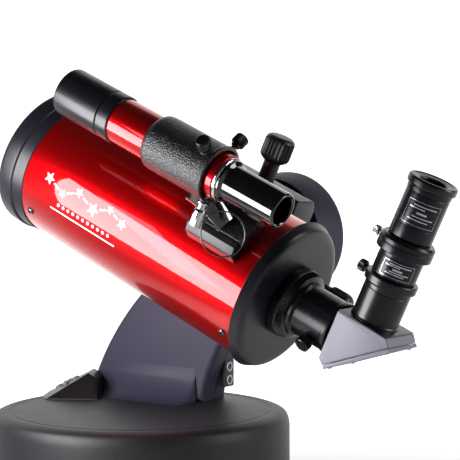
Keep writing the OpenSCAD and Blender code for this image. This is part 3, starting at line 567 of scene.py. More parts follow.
def ink_bar(start, end, width, count=14):
    """A flat bar of ink: rings of four corners from start to end, so that wrap can bend it round a tube."""
    start, end = np.array(start, float), np.array(end, float)
    ahead = unit(end - start)
    side = np.array([-ahead[1], ahead[0]]) * width / 2
    line = start + (end - start) * np.linspace(0, 1, count)[:, None]
    corners = [(side, -0.3), (-side, -0.3), (-side, 0.09), (side, 0.09)]
    points = np.stack([np.column_stack([line + out, np.full(count, h)]) for out, h in corners],
                      1).reshape(-1, 3)
    last = (count - 1) * 4
    return points, grid_faces(count, 4).tolist() + [[3, 2, 1, 0], [last, last + 1, last + 2, last + 3]]


def build_tube_mark():
    """A plain screen-printed mark: six stars joined by lines, with a row of dots and a rule under them."""
    r = reach("main_tube", TUBE)[2] + 0.02
    thick = [(0, -0.3), (0, 0.06), (0.04, 0.09)]
    solids = []

    def spot(x, s, size, points=5, inner=0.45):
        t = np.arange(points * 2) * math.pi / points
        reach_out = np.where(np.arange(points * 2) % 2 == 0, 1.0, inner) * size
        outline = np.stack([x + reach_out * np.cos(t), s + reach_out * np.sin(t)], -1)
        solids.append((TUBE, wrap(lofted(outline, thick), r, MARK_ANGLE, 0)))

    def rule(x0, s0, x1, s1, width):
        solids.append((TUBE, wrap(ink_bar((x0, s0), (x1, s1), width), r, MARK_ANGLE, 0)))

    stars = [(-112, -10, 5.4), (-95, -4, 3.8), (-79, -12, 4.4), (-61, -6, 6.2), (-45, -13, 3.8),
             (-30, -8, 4.8)]
    for x, s, size in stars:
        spot(x, s, size)
    for (x0, s0, a), (x1, s1, b) in zip(stars, stars[1:]):
        gap = unit((x1 - x0, s1 - s0))
        rule(x0 + gap[0] * (a + 1), s0 + gap[1] * (a + 1), x1 - gap[0] * (b + 1), s1 - gap[1] * (b + 1),
             1.3)
    for k in range(11):
        spot(-96 + k * 5.6, 7, 1.4, points=12, inner=0.98)
    rule(-104, 12.5, -32, 12.5, 1.1)
    piece("tube_mark", solids, "optical_tube", FINISHES["ink"])


MARK_ANGLE = math.pi + math.radians(6)


def build_front_ring():
    low, high, r = reach("front_ring", TUBE)
    z = low[2]
    line = rounded_loop([(51, z + 2.4, 0.3), (52.6, z + 0.6, 0.6), (54, z, 0.4), (r - 3, z, 2),
                         (r, z + 3, 2.4),
                         (r, z + 16, 0.6), (r - 0.9, z + 17, 0.4), (r - 1.6, z + 17.3, 0.3),
                         (r - 2.2, z + 27.4, 0.4),
                         (r - 2.9, z + 28, 0.1), (56.4, z + 28, 0.1), (56.4, high[2], 0.3),
                         (54, high[2], 0.3),
                         (54, z + 14, 0.1), (51, z + 14, 0.2), (51, z + 11, 0.1), (51.6, z + 10.6, 0.1),
                         (51.6, z + 9.6, 0.1), (51, z + 9.2, 0.1), (51, z + 7, 0.1), (51.6, z + 6.6, 0.1),
                         (51.6, z + 5.6, 0.1), (51, z + 5.2, 0.1)])
    piece("front_cell_ring", [(TUBE, turned(line, 192))], "optical_tube", FINISHES["cell"],
          ["front_ring"])
    t = np.linspace(0, 1, 20)
    edge = 53.7
    back = z + 14.2
    front_face = np.stack([edge * t, back + 5 - 5 * t ** 2], -1)
    rear_face = np.stack([edge * t, back + 14 - 6 * t ** 2], -1)[::-1]
    piece("meniscus", [(TUBE, turned(np.vstack([front_face, rear_face]), 128))], "optical_tube",
          FINISHES["glass"], ["corrector_lens"], sharp=60)
    spot = rounded([(0, back + 14.15), (15, back + 13.7, 0.1), (15.4, back + 14.4, 0.2),
                    (15, back + 15.4, 0.2),
                    (0, back + 15.6)], 0.2)
    piece("secondary_spot", [(TUBE, turned(spot, 96))], "optical_tube", FINISHES["mirror"])


def build_rear_cell():
    low, high, r = reach("rear_cell", TUBE)
    z = high[2]
    tube_r = reach("main_tube", TUBE)[2]
    # Broad rounded shoulder that catches the light all the way round
    line = rounded_loop([(17, z, 0.2), (tube_r - 5, z, 0.6), (tube_r - 1.2, z - 0.5, 1.8),
                         (tube_r + 0.9, z - 2.4, 1.2), (r - 0.5, z - 7.4, 0.5), (r, z - 8, 0.3),
                         (r, z - 8.5, 0.3),
                         (56.4, z - 8.5, 0.1), (56.4, low[2], 0.3), (53.4, low[2], 0.3),
                         (53.4, z - 9.5, 0.3),
                         (13, z - 9.5, 0.1), (13, z - 7.5, 0.1), (17, z - 7.5, 0.1)])
    piece("rear_cell_casting", [(TUBE, turned(line, 192))], "optical_tube", FINISHES["cell"],
          ["rear_cell"])


def build_tube_screws():
    """Domed socket screws: profile of a dome with a round socket sunk in it."""
    solids = []
    low, high, _ = reach("tube_screws", TUBE)
    tube_r = reach("main_tube", TUBE)[2]
    dome = rounded([(0, tube_r - 0.3), (3.3, tube_r - 0.3, 0.1), (3.1, tube_r + 0.9, 0.9),
                    (1.9, tube_r + 1.8, 0.6), (1.3, tube_r + 1.9, 0.15), (1.2, tube_r + 0.8, 0.1),
                    (0, tube_r + 0.8)], 0.2, 5)
    for z in (low[2] + 3.2, high[2] - 3.2):
        for turn in (-35, 180 + 35):
            a = math.radians(turn)
            solids.append((TUBE.at((0, 0, z), (math.cos(a), math.sin(a), 0), (0, 0, 1)), turned(dome, 24)))
    piece("cell_screws", solids, "optical_tube", FINISHES["gloss"], ["tube_screws"])


def build_focus_knob():
    low, high, _ = reach("focus_knob", TUBE)
    place = TUBE.at(((low[0] + high[0]) / 2, (low[1] + high[1]) / 2, 0))
    low, high, r = reach("focus_knob", place)
    z = high[2]
    line = rounded([(0, low[2]), (3, low[2], 0.2), (3, z - 28.6), (7.6, z - 28.6, 0.5), (8, z - 20, 0.4),
                    (9.3, z - 19.4, 0.4), (r, z - 18.4, 0.6), (r, z - 16), (r, z - 10), (r, z - 4, 2.4),
                    (r - 2.4, z - 0.6, 1.6), (r - 5, z, 1), (0, z)], 0.4)
    piece("focus_control", [(place, turned(line, 120, (30, 0.45, z - 17, z - 5)))], "focus_knob",
          FINISHES["moulded"], ["focus_knob"])


def build_visual_back():
    low, high, r = reach("visual_back", TUBE)
    z = high[2]
    ribs = sizes().collar_ribs
    line = rounded_loop([(15.93, z, 0.2), (21.3, z, 0.5), (21.3, z - 4, 0.4), (20.7, z - 4.4, 0.2),
                         (20.6, z - 5, 0.2), (20.6, z - 31, 0.4), (21.9, z - 31.6, 0.3),
                         (23, z - 32.4, 0.5),
                         (23, z - 34.6, 0.3), (24.6, z - 35, 0.4), (26.2, z - 35.6, 0.4),
                         (26.4, z - 36.2, 0.1),
                         (27.9, z - 40.8, 0.1), (28.2, z - 41.3, 0.2), (r, z - 42, 0.3), (r, z - 48, 0.5),
                         (r - 0.8, z - 48.8, 0.3), (17, z - 48.8, 0.1), (17, low[2] + 0.2, 0.1),
                         (15.1, low[2] + 0.2, 0.1), (15.1, z - 26, 0.1), (15.93, z - 26, 0.1)])
    rows = [line[0]]
    for point in line[1:]:
        steps = 6 if -41.5 < point[1] - z < -36 and abs(point[1] - rows[-1][1]) > 2 else 1
        rows.extend(rows[-1] + (point - rows[-1]) * (k + 1) / steps for k in range(steps))
    piece("visual_back_body", [(TUBE, turned(np.array(rows), ribs * 4, (ribs, 0.55, z - 40.9, z - 36.1)))],
          "optical_tube", FINISHES["anodised"], ["visual_back"])


# ---- thumbscrews ----

# Slot, radius of the shank in mm and finish of each thumbscrew
SCREWS = {"visual_back_screw": ("satin_black", 2.0, "satin"),
          "holder_screw": ("satin_black", 2.0, "satin"),
          "barlow_screw": ("steel", 1.5, "steel"),
          "finder_screw_upper": ("satin_black", 2.0, "satin"),
          "finder_screw_near": ("satin_black", 2.0, "satin"),
          "shoe_knob": ("gloss_black", 2.0, "moulded")}


def build_thumbscrews():
    for name, (slot, shank, finish) in SCREWS.items():
        place = joint_place(name + "_turn")
        low, high, r = reach(name, place)
        head = {"barlow_screw": 7.0, "holder_screw": 8.0, "visual_back_screw": 9.0,
                "shoe_knob": 7.0}.get(name, 10.0)
        seat = high[2] - head
        line = screw_line(low[2], seat, high[2], shank, r - 2, r)
        ribs = 30 if r > 5 else 22
        knurl = (ribs, 0.4, seat + 2.6, high[2] - 0.9)
        piece(name + "_turned", [(place, turned(line, ribs * 4, knurl))], name, FINISHES[finish],
              [name])


# ---- diagonal ----

def slope_strip(a, b, out, thick):
    """A four-cornered outline along a to b, moved out square to it by out and thick deep."""
    a, b = np.array(a, float), np.array(b, float)
    ahead = unit(b - a)
    square = np.array([ahead[1], -ahead[0]])
    return rounded_loop([a + square * out, b + square * out, b + square * (out + thick),
                         a + square * (out + thick)], 0.5)


def build_diagonal():
    half = 22.0
    foot, toe, heel = (159.9, -25.9), (203.6, 12.2), (197, 19.7)
    lean = unit((toe[0] - foot[0], toe[1] - foot[1]))
    square = np.array([-lean[1], lean[0]])
    cover = 3.2
    a, b = np.array(foot) + square * cover, np.array(toe) + square * cover
    outline = rounded_loop([(152.7, -14), (152.7, 19.7), heel, tuple(b - lean * 0.2), tuple(a),
                            (152.9, -20)], 0.7)
    solids = [(SIDE, plate(outline, -half, half, 0.9))]
    strip = slope_strip(foot, toe, -cover + 0.25, cover - 0.25)
    solids.append((SIDE, plate(strip, -half + 0.1, half - 0.1, 0.7)))
    piece("diagonal_housing", solids, "diagonal", FINISHES["pearl"], ["diagonal_body"])
    screws = []
    head = rounded([(0, -1), (1.7, -1), (1.7, 0.5, 0.5), (0.9, 0.9, 0.2), (0.8, 0.3, 0.1), (0, 0.3)], 0.1)
    for along in (4.0, 53.5):
        for z in (-17.5, 17.5):
            x, y = np.array(foot) + lean * along
            screws.append((SIDE.at((x, y, z), (-square[0], -square[1], 0), (0, 0, 1)), turned(head, 24)))
    piece("diagonal_cover_screws", screws, "diagonal", FINISHES["steel"])
    top = plate(box_outline(152.9, 196.6, -half + 0.4, half - 0.4, 1.2), 19.6, 20.5, 0.3)
    nose = rounded_loop([(15.87, 126), (15.87, 150.3), (18, 150.4, 0.3), (18, 152.9, 0.2), (13.2, 152.9),
                         (13.2, 126)],
                        0.2)
    piece("diagonal_top_plate", [(AIM, top), (TUBE, turned(nose, 128))], "diagonal",
          FINISHES["satin"])
    holder_top = 56.5
    line = rounded_loop([(15.95, 24), (15.95, holder_top, 0.5), (19.6, holder_top, 0.6),
                         (20.3, holder_top - 0.8, 0.3),
                         (20.3, 50.4, 0.4), (19.6, 49.7, 0.3), (18.4, 49.5, 0.2), (18, 48.9, 0.2),
                         (18, 46.2, 0.2),
                         (17.7, 45.9, 0.1), (17.7, 45.5, 0.1), (18, 45.2, 0.2), (18, 22.4, 0.4),
                         (18.8, 21.4, 0.5),
                         (18.8, 20.4, 0.2), (15.95, 20.4)], 0.3)
    piece("eyepiece_holder", [(EYE, turned(line, 144))], "diagonal", FINISHES["satin"])


# ---- eyepiece stack ----

def label(solids, place, r, low, high, span, bars):
    """A printed panel: a thin frame round a patch of a tube, with plain bars for the lines of print."""
    for edge in (low, high):
        solids.append((place, wrap(ink_bar((edge, -span), (edge, span), 0.24), r, LABEL_ANGLE, 0)))
    for edge in (-span, span):
        solids.append((place, wrap(ink_bar((low, edge), (high, edge), 0.24), r, LABEL_ANGLE, 0)))
    for a, width, start, end in bars:
        z = low + a * (high - low)
        solids.append((place, wrap(ink_bar((z, start * span), (z, end * span), width), r, LABEL_ANGLE, 0)))


LABEL_ANGLE = math.radians(-62)
BARS = [(0.22, 0.7, -0.7, 0.5), (0.36, 0.7, -0.5, 0.75), (0.53, 1.4, -0.3, 0.3), (0.72, 0.7, -0.8, 0.1),
        (0.84, 0.7, -0.6, 0.8)]


def build_barlow():
    low, high, r = reach("barlow", EYE)
    z = high[2]
    line = rounded_loop([(15.93, z - 0.2, 0.3), (17.6, z, 0.3), (19.2, z, 0.4), (r, z - 2, 0.5),
                         (r, z - 4.6, 0.2),
                         (r - 0.5, z - 4.8, 0.1), (r - 0.5, z - 5.6, 0.1), (r, z - 5.8, 0.2),
                         (r, z - 11.4, 0.5),
                         (r - 0.7, z - 12, 0.3), (18.4, z - 12, 0.3), (17.1, z - 12.6, 0.3),
                         (17.1, z - 14.6, 0.1),
                         (16.8, z - 14.8, 0.1), (16.8, z - 15.4, 0.1), (17.1, z - 15.6, 0.1),
                         (17.1, 58, 0.4),
                         (16.8, 56.9, 0.2), (15.87, 56.9, 0.1), (15.87, low[2], 0.3), (12.5, low[2], 0.3),
                         (12.5, 58, 0.1),
                         (15.93, 58, 0.1)], 0.3)
    piece("barlow_body", [(EYE, turned(line, 144))], "barlow", FINISHES["anodised"],
          ["barlow"])
    solids = []
    label(solids, EYE, 17.12, 59.6, 71.2, 12.5, BARS)
    piece("barlow_print", solids, "barlow", FINISHES["silver_ink"])
    lens = rounded([(0, low[2] + 3), (6, low[2] + 3.6, 2), (12.3, low[2] + 5, 0.2), (12.3, low[2] + 7, 0.2),
                    (0, low[2] + 7)], 0.2)
    piece("barlow_lens", [(EYE, turned(lens, 96))], "barlow", FINISHES["glass"])


def build_eyepiece():
    low, high, r = reach("eyepiece", EYE)
    z = high[2]
    line = rounded_loop([(15.87, low[2], 0.4), (15.87, 88.4, 0.1), (16.2, 88.5, 0.1), (16.7, 89.4, 0.4),
                         (16.7, 99.2, 0.1), (16.45, 99.4, 0.1), (16.45, 99.9, 0.1), (16.7, 100.1, 0.1),
                         (16.7, 123.2, 0.1), (16.4, 123.5, 0.1), (16.4, 124.2, 0.1), (17.0, 124.6, 0.2),
                         (17.1, 128.4, 0.2), (14, 128.6, 0.1), (10.2, 128.6, 0.1), (10.2, 123, 0.1),
                         (13, 122.8, 0.1), (13, low[2], 0.3)], 0.2)
    piece("eyepiece_barrel", [(EYE, turned(line, 144))], "eyepiece", FINISHES["anodised"],
          ["eyepiece"])
    cup = rounded_loop([(17.3, z - 6, 0.3), (r - 0.5, z - 6, 0.4), (r, z - 5.4, 0.4), (r, z - 1.2, 0.6),
                        (r - 0.9, z - 0.1, 0.5), (r - 2.4, z, 0.4), (r - 3.2, z - 0.7, 0.4),
                        (12.4, z - 1.3, 0.6),
                        (11.2, z - 1.6, 0.3), (10.3, z - 2.4, 0.4), (10.3, z - 5.8, 0.2),
                        (14, z - 5.9, 0.1)], 0.4)
    piece("eyecup", [(EYE, turned(cup, 144))], "eyepiece", FINISHES["soft_rubber"])
    t = np.linspace(0, 1, 12)
    face = np.stack([9.9 * t, 131 - 2.6 * t ** 2], -1)
    back = np.stack([9.9 * t, 124.5 + 1.5 * t ** 2], -1)[::-1]
    piece("eye_lens", [(EYE, turned(np.vstack([face, back]), 96))], "eyepiece", FINISHES["glass"],
          ["eyepiece_lens"], sharp=60)
    solids = []
    label(solids, EYE, 16.72, 101.6, 119, 13, BARS)
    piece("eyepiece_print", solids, "eyepiece", FINISHES["silver_ink"])


# ---- finder ----

def build_finder_tube():
    low, high, r = reach("finder_tube", FINDER)
    z = high[2]
    line = rounded_loop([(r, low[2], 0.2), (r, 53.4, 0.4), (15.4, 53.6, 0.1), (15.4, 50, 0.1),
                         (16.6, 50, 0.1),
                         (16.6, low[2], 0.2)])
    piece("finder_body", [(FINDER, turned(line, 144))], "finder", FINISHES["red"],
          ["finder_tube"])
    line = rounded_loop([(13.5, 60.4, 0.2), (13.5, z - 1.2, 0.4), (12.8, z, 0.5), (11.6, z, 0.3),
                         (10.6, z - 1, 0.5),
                         (10.5, 56.6, 0.2), (15.2, 56.7, 0.1), (16.2, 56.8, 0.3), (16.3, 58.6, 0.4),
                         (14.6, 59.6, 0.5)],
                        0.2)
    piece("finder_eye_tube", [(FINDER, turned(line, 144))], "finder", FINISHES["gloss"])
    collar = rounded_loop([(15.2, 52, 0.1), (16.4, 52, 0.1), (16.4, 53.7, 0.1), (17.4, 53.9, 0.5),
                           (17.4, 56, 0.7),
                           (16.6, 56.5, 0.3), (15.2, 56.5, 0.1)], 0.2)
    piece("finder_collar", [(FINDER, turned(collar, 144))], "finder", FINISHES["chrome"])
    lens = rounded([(0, 60), (10.4, 61, 0.2), (10.4, 64, 0.2), (0, 66)], 0.2)
    piece("finder_eye_lens", [(FINDER, turned(lens, 96))], "finder", FINISHES["glass"])


def build_finder_shade():
    low, high, r = reach("finder_shade", FINDER)
    z = low[2]
    line = rounded_loop([(r - 1.8, z, 0.4), (r - 0.3, z, 0.6), (r, z + 0.9, 0.5), (r, high[2] - 0.7, 0.4),
                         (r - 0.5, high[2], 0.3), (18.26, high[2], 0.1), (18.26, -70.2, 0.1),
                         (15, -70.2, 0.1),
                         (15, -80, 0.1), (16.6, -81, 0.1), (17, -84, 0.2), (17, z + 1.2, 0.4)], 0.3)
    piece("finder_dew_shade", [(FINDER, turned(line, 160))], "finder_shade",
          FINISHES["satin"],
          ["finder_shade"])
    lens = rounded([(0, -79), (14.9, -77.6, 0.2), (14.9, -73, 0.2), (0, -73.4)], 0.2)
    piece("finder_objective", [(FINDER, turned(lens, 96))], "finder_shade", FINISHES["glass"])
    low, high, r = reach("finder_lock_ring", FINDER)
    line = rounded_loop([(18.26, low[2]), (r - 0.5, low[2], 0.3), (r, low[2] + 0.6, 0.3),
                         (r, high[2] - 1.2, 0.5),
                         (r - 0.7, high[2], 0.3), (18.26, high[2])], 0.3)
    piece("finder_lock", [(FINDER, turned(line, 160))], "finder_lock_ring",
          FINISHES["satin"],
          ["finder_lock_ring"])


def build_finder_bracket():
    front = reach("finder_bracket", FINDER)[0][2]
    rear = FINDER.local(joint("finder_screw_near_turn")["pos_m"])[2] + 9
    r = 21.9
    line = rounded_loop([(18.3, front, 0.4), (19.2, front, 0.6), (r - 0.4, front + 2.6, 2.2),
                         (r, front + 6, 1),
                         (r, rear - 4, 0.6), (r + 0.6, rear - 2.8, 0.5), (r + 0.6, rear - 0.5, 0.5),
                         (r - 0.2, rear, 0.4), (19.8, rear, 0.4), (19.8, front + 5, 0.3),
                         (18.3, front + 5, 0.3)], 0.4)
    solids = [(FINDER, turned(line, 160))]
    boss = rounded_loop([(2.1, r - 1.2), (4.4, r - 1.2), (4.2, r + 1.4, 0.5), (2.1, r + 1.4, 0.2)], 0.3)
    for name in ("finder_screw_near_turn", "finder_screw_upper_turn", "finder_plunger_pull"):
        solids.append((finder_spoke(name), turned(boss, 48)))
    # Stalk from the ring's underside down to the foot in the shoe
    foot = SHOE.world((0, 70.5, 58))
    ring = FINDER.world((0, 0, 21))
    start = unit(foot - ring - BACK * np.dot(foot - ring, BACK))
    top = AIM.local(ring + start * (r - 1.4) * MM)
    bottom = AIM.local(foot) - np.array([3, 0, 0])
    t = np.linspace(0, 1, 14)[:, None]
    bend = np.array([0, 0, 1.5]) * np.sin(math.pi * t)
    path = top + (bottom - top) * t + bend
    wide = np.linspace(34, 32, 14) - 3 * np.sin(math.pi * t[:, 0])
    deep = np.linspace(14, 15, 14) - 5 * np.sin(math.pi * t[:, 0])
    stalk = swept(path + np.array([3, 0, 0]), deep, wide, (1, 0, 0), 7.0, 48)
    piece("finder_stalk", [(AIM, stalk)], "finder", FINISHES["gloss"])
    # Thin rubber loop that hangs on the stalk and keeps the foot from falling out of the shoe
    loop = AIM.at((72.5, -80.5, 44.6), (0.35, -1, 0.1), (1, 0, 0))
    t = np.arange(16) * math.pi / 8
    section = np.stack([16.6 + 0.55 * np.cos(t), 0.55 * np.sin(t)], -1)
    piece("finder_loop", [(loop, turned(section, 144))], "finder", FINISHES["gloss"])
    half = 8.6
    tongue = rounded_loop([(-half, 62.4), (half, 62.4), (half, 71.4), (-half, 71.4)], 0.8)
    solids.append((SHOE, plate(tongue, 35.2, 76.8, 0.8)))
    piece("finder_ring_casting", solids, "finder", FINISHES["wrinkle"], ["finder_bracket"])


def shoe_place():
    """z back along the tube, y out through the middle of the shoe, x round the tube."""
    outward_way = np.array(joint("shoe_knob_turn")["axis"])
    return Place(ALTITUDE_POINT, BACK, outward_way)


SHOE = shoe_place()


def build_finder_shoe():
    low, high, _ = reach("finder_shoe", SHOE)
    r = reach("main_tube", TUBE)[2] + 0.02
    half = 19.0
    a = np.linspace(math.asin(-half / r), math.asin(half / r), 14)
    arc = [(r * math.sin(t), r * math.cos(t), 0.05) for t in a]
    sides_up = [(half, 63.6, 0.8), (half - 3.6, 67.6, 1.0), (half - 5, 69, 0.6), (9.1, 69, 0.6),
                (9.1, 62, 0.3),
                (-9.1, 62, 0.3), (-9.1, 69, 0.6), (-half + 5, 69, 0.6), (-half + 3.6, 67.6, 1.0),
                (-half, 63.6, 0.8)]
    outline = rounded_loop(arc + sides_up, 0.5)
    piece("finder_shoe_casting", [(SHOE, plate(outline, low[2], high[2], 0.8))], "optical_tube",
          FINISHES["moulded"], ["finder_shoe"])


def build_finder_plunger():
    place = finder_spoke("finder_plunger_pull")
    low, high, r = reach("finder_plunger", place)
    z = high[2]
    line = rounded([(0, low[2]), (2.2, low[2], 0.8), (2.4, low[2] + 4), (3, low[2] + 4.1, 0.2),
                    (3, z - 20.2, 0.2),
                    (4.9, z - 20.1, 0.2), (4.9, z - 19, 0.2), (3.4, z - 18.9, 0.2), (3.4, z - 14.6, 0.2),
                    (4.2, z - 14.5, 0.3), (r, z - 12.8, 0.5), (r, z - 1.4, 0.6), (r - 1, z, 0.5),
                    (r - 2.2, z - 0.3, 0.2), (0, z - 0.3)], 0.3)
    piece("plunger_spindle", [(place, turned(line, 96, (20, 0.3, z - 7, z - 1.5)))], "finder_plunger",
          FINISHES["chrome"], ["finder_plunger"])


# ---- saddle and head ----

def build_saddle():
    low, high, _ = reach("dovetail_bar", TUBE)
    tube_r = reach("main_tube", TUBE)[2] + 0.02
    outer, half, lean = high[0], high[1], math.tan(math.radians(15))
    foot_half = half - 16 * lean
    a = np.linspace(math.asin(-foot_half / tube_r), math.asin(foot_half / tube_r), 12)
    arc = [(tube_r * math.cos(t), tube_r * math.sin(t), 0.02) for t in a]
    outline = rounded_loop(arc + [(outer - 16, foot_half, 0.3), (outer, half, 0.5), (outer, -half, 0.5),
                                  (outer - 16, -foot_half, 0.3)], 0.3)
    piece("dovetail_bar_drawn", [(TUBE, plate(outline, low[2], high[2], 0.6))], "optical_tube",
          FINISHES["grey_anodised"], ["dovetail_bar"])
    low, high, _ = reach("saddle", TUBE)
    edge_at = half - (outer - 61) * lean
    outline = rounded_loop([(61, low[1], 2), (61, -edge_at - 0.2, 0.3), (outer + 0.2, -half - 0.2, 0.2),
                            (outer + 0.2, half + 10, 0.3), (62, half + 10, 0.3), (62, high[1] - 3, 1.5),
                            (65, high[1], 2), (high[0] - 6, high[1], 3), (high[0], high[1] - 8, 3),
                            (high[0], low[1], 2)], 0.6)
    piece("saddle_casting", [(TUBE, plate(outline, low[2], high[2], 1.6))], "altitude_head",
          FINISHES["cell"], ["saddle"])
    dress(FINISHES["cast"], "clamp_jaw")


def build_clamp_knob():
    place = joint_place("clamp_knob_turn")
    low, high, r = reach("clamp_knob", place)
    z = high[2]
    ribs = sizes().knob_ribs
    line = rounded([(0, low[2]), (4, low[2], 0.3), (4, z - 41), (7, z - 41, 0.6), (7, z - 34),
                    (7, z - 23, 0.5),
                    (9, z - 22.2, 0.8), (r - 0.7, z - 19.6, 1.0), (r, z - 17.6, 0.8), (r, z - 13),
                    (r, z - 9),
                    (r, z - 4.4, 1.2), (r - 1.2, z - 1.6, 1.4), (r - 3.8, z - 0.3, 1.2), (r - 8, z, 1),
                    (0, z)], 0.4)
    piece("clamp_handle", [(place, turned(line, ribs * 8, (ribs, 1.1, z - 20, z - 3.6)))], "clamp_knob",
          FINISHES["moulded"], ["clamp_knob"])


def build_head():
    low, high, r = reach("head_drum", DRUM)
    mouth, back = low[2], high[2]
    line = rounded_loop([(49.4, mouth, 0.3), (50.9, mouth + 0.1, 0.7), (53.8, mouth + 12, 3),
                         (r - 0.7, mouth + 24, 3),
                         (r, mouth + 28.5, 1.4), (r, back - 5, 1.5), (r - 3.6, back - 0.6, 2.4),
                         (r - 7, back, 1),
                         (43, back, 0.5), (42.4, back - 1.2, 0.4), (41.4, back - 1.2, 0.4),
                         (40.8, back - 0.2, 0.5),
                         (24, back - 0.2, 0.5), (23, back - 1.6, 0.5), (12, back - 1.6, 0.5),
                         (11, back - 0.4, 0.5),
                         (0.01, back - 0.3, 0.1), (0.01, back - 3, 0.1), (53.6, back - 3, 0.3),
                         (53.6, mouth + 28, 0.5),
                         (49.4, mouth + 7, 0.3)], 0.4)
    piece("head_drum_shell", [(DRUM, turned(line, 192))], "turret", FINISHES["shell"],
          ["head_drum"])
    low, high, r = reach("altitude_plate", DRUM)
    face = high[2] - 6.2
    line = rounded([(0, low[2]), (29.2, low[2], 0.4), (30, low[2] + 0.8, 0.3), (30, face - 0.8, 0.8),
                    (31, face, 0.4),
                    (43.5, face, 0.2), (43.9, face + 0.6, 0.2), (44.9, face + 0.6, 0.2), (45.3, face, 0.2),
                    (r - 0.9, face, 0.5), (r, face + 1, 0.4), (r, high[2], 0.3), (0, high[2])], 0.4)
    piece("altitude_face_plate", [(DRUM, turned(line, 192))], "altitude_head",
          FINISHES["satin"],
          ["altitude_plate"])


# ---- arm and turret ----

ARM_CURVE = ((40, -238), 257.0)
ARM_BACK = ((-22, -53), (-68, -118), (-70, -150))


def arm_outline(drop, tuck=0.0):
    """The arm seen from the side: a long front arc, and a back edge that is a parabola."""
    (cx, cy), r = ARM_CURVE
    r -= tuck
    low = math.pi - math.asin((-drop - cy) / r)
    a = np.linspace(low, math.radians(115), 48)
    front = np.stack([cx + r * np.cos(a), cy + r * np.sin(a)], -1)
    p0, p1, p2 = (np.array(p, float) for p in ARM_BACK)
    t = np.linspace(0, 1, 32)[:, None]
    rear = (1 - t) ** 2 * p0 + 2 * t * (1 - t) * p1 + t ** 2 * p2 + np.array([-tuck, 0])
    rear = rear[rear[:, 1] > -drop - 0.01]
    return np.vstack([front, [[-14, -18]], rear])


def build_arm():
    drop = -reach("arm_inner_shell", LEVEL)[0][1]
    far = reach("arm_outer_shell", LEVEL)[0][2]
    near = -reach("head_drum", DRUM)[0][2] + 1
    split = (near + far) / 2
    outline = arm_outline(drop)
    rim = [(5 * (1 - math.sin(t)), 5 * (1 - math.cos(t))) for t in np.linspace(0, math.pi / 2, 7)]
    wall = 3.0
    inner = ([(wall, split), (0.4, split), (0, split + 0.4)]
             + [(i, near - h) for i, h in reversed(rim)])
    outer = [(i, far + h) for i, h in rim] + [(0, split - 0.5), (0.4, split - 0.1), (wall, split - 0.1)]
    piece("arm_shell_inner", [(LEVEL, lofted(outline, inner)), (LEVEL, root_sweep(near, drop))], "turret",
          FINISHES["shell"], ["arm_inner_shell"])
    piece("arm_shell_outer", [(LEVEL, lofted(outline, outer))], "turret",
          FINISHES["shell"],
          ["arm_outer_shell"])


def root_sweep(near, drop):
    """Concave foot between the arm and the turret: a quarter circle carried along the arm's inner face."""
    radius = 30.0
    a = np.linspace(0, math.pi / 2, 16)
    z = np.concatenate([[-1.0, -1.0], radius - radius * np.cos(a)])
    y = np.concatenate([[0.0, radius], radius - radius * np.sin(a)])
    x = np.array([-187.0, -186.0, -184.0, -78.0, -77.0, -76.5])
    tuck = np.array([1.5, 0.5, 0.0, 0.0, 0.5, 1.5])
    points = np.empty((len(x), len(y), 3))
    points[..., 0] = x[:, None]
    points[..., 1] = -drop + np.maximum(y[None, :] - tuck[:, None], 0)
    points[..., 2] = near + np.maximum(z[None, :] - tuck[:, None], -1)
    faces = grid_faces(len(x), len(y)).tolist()
    faces.append(list(range(len(y)))[::-1])
    faces.append([(len(x) - 1) * len(y) + i for i in range(len(y))])
    return points.reshape(-1, 3), faces


def build_turret():
    low, high, r = reach("turret_housing", BASE)
    z, top = low[2], high[2]
    line = rounded_loop([(r - 3, z), (r - 1.2, z, 0.4), (r, z + 1, 0.8), (r, z + 6, 0.3),
                         (r - 0.8, z + 6.4, 0.2),
                         (r - 0.8, z + 7.4, 0.2), (r, z + 7.8, 0.3), (r, top - 10, 4),
                         (r - 2.6, top - 3, 3),
                         (r - 9, top - 0.1, 3.6), (r - 16, top, 0.6), (r - 16.5, top - 0.5, 0.2),
                         (r - 17.5, top - 0.5, 0.2), (r - 18, top, 0.3), (0.01, top, 0.1),
                         (0.01, top - 3, 0.1),
                         (r - 10, top - 3, 5), (r - 3, top - 10, 2)], 0.3)
    piece("turret_shell", [(BASE, turned(line, 256))], "turret", FINISHES["turret"],
          ["turret_housing"])
    door = wrap(plate(box_outline(z + 12, top - 14, -38, 38, 4), -0.6, 0.0, 0.3), r, math.radians(-20), 0)
    grips = [wrap(plate(box_outline(z + 17, top - 19, s, s + 1.6, 0.7), -0.4, 0.0, 0.3), r,
                  math.radians(-20), 0)
             for s in (-33, -29.5, -26)]
    piece("battery_door", [(BASE, door)] + [(BASE, g) for g in grips], "turret",
          FINISHES["moulded"])


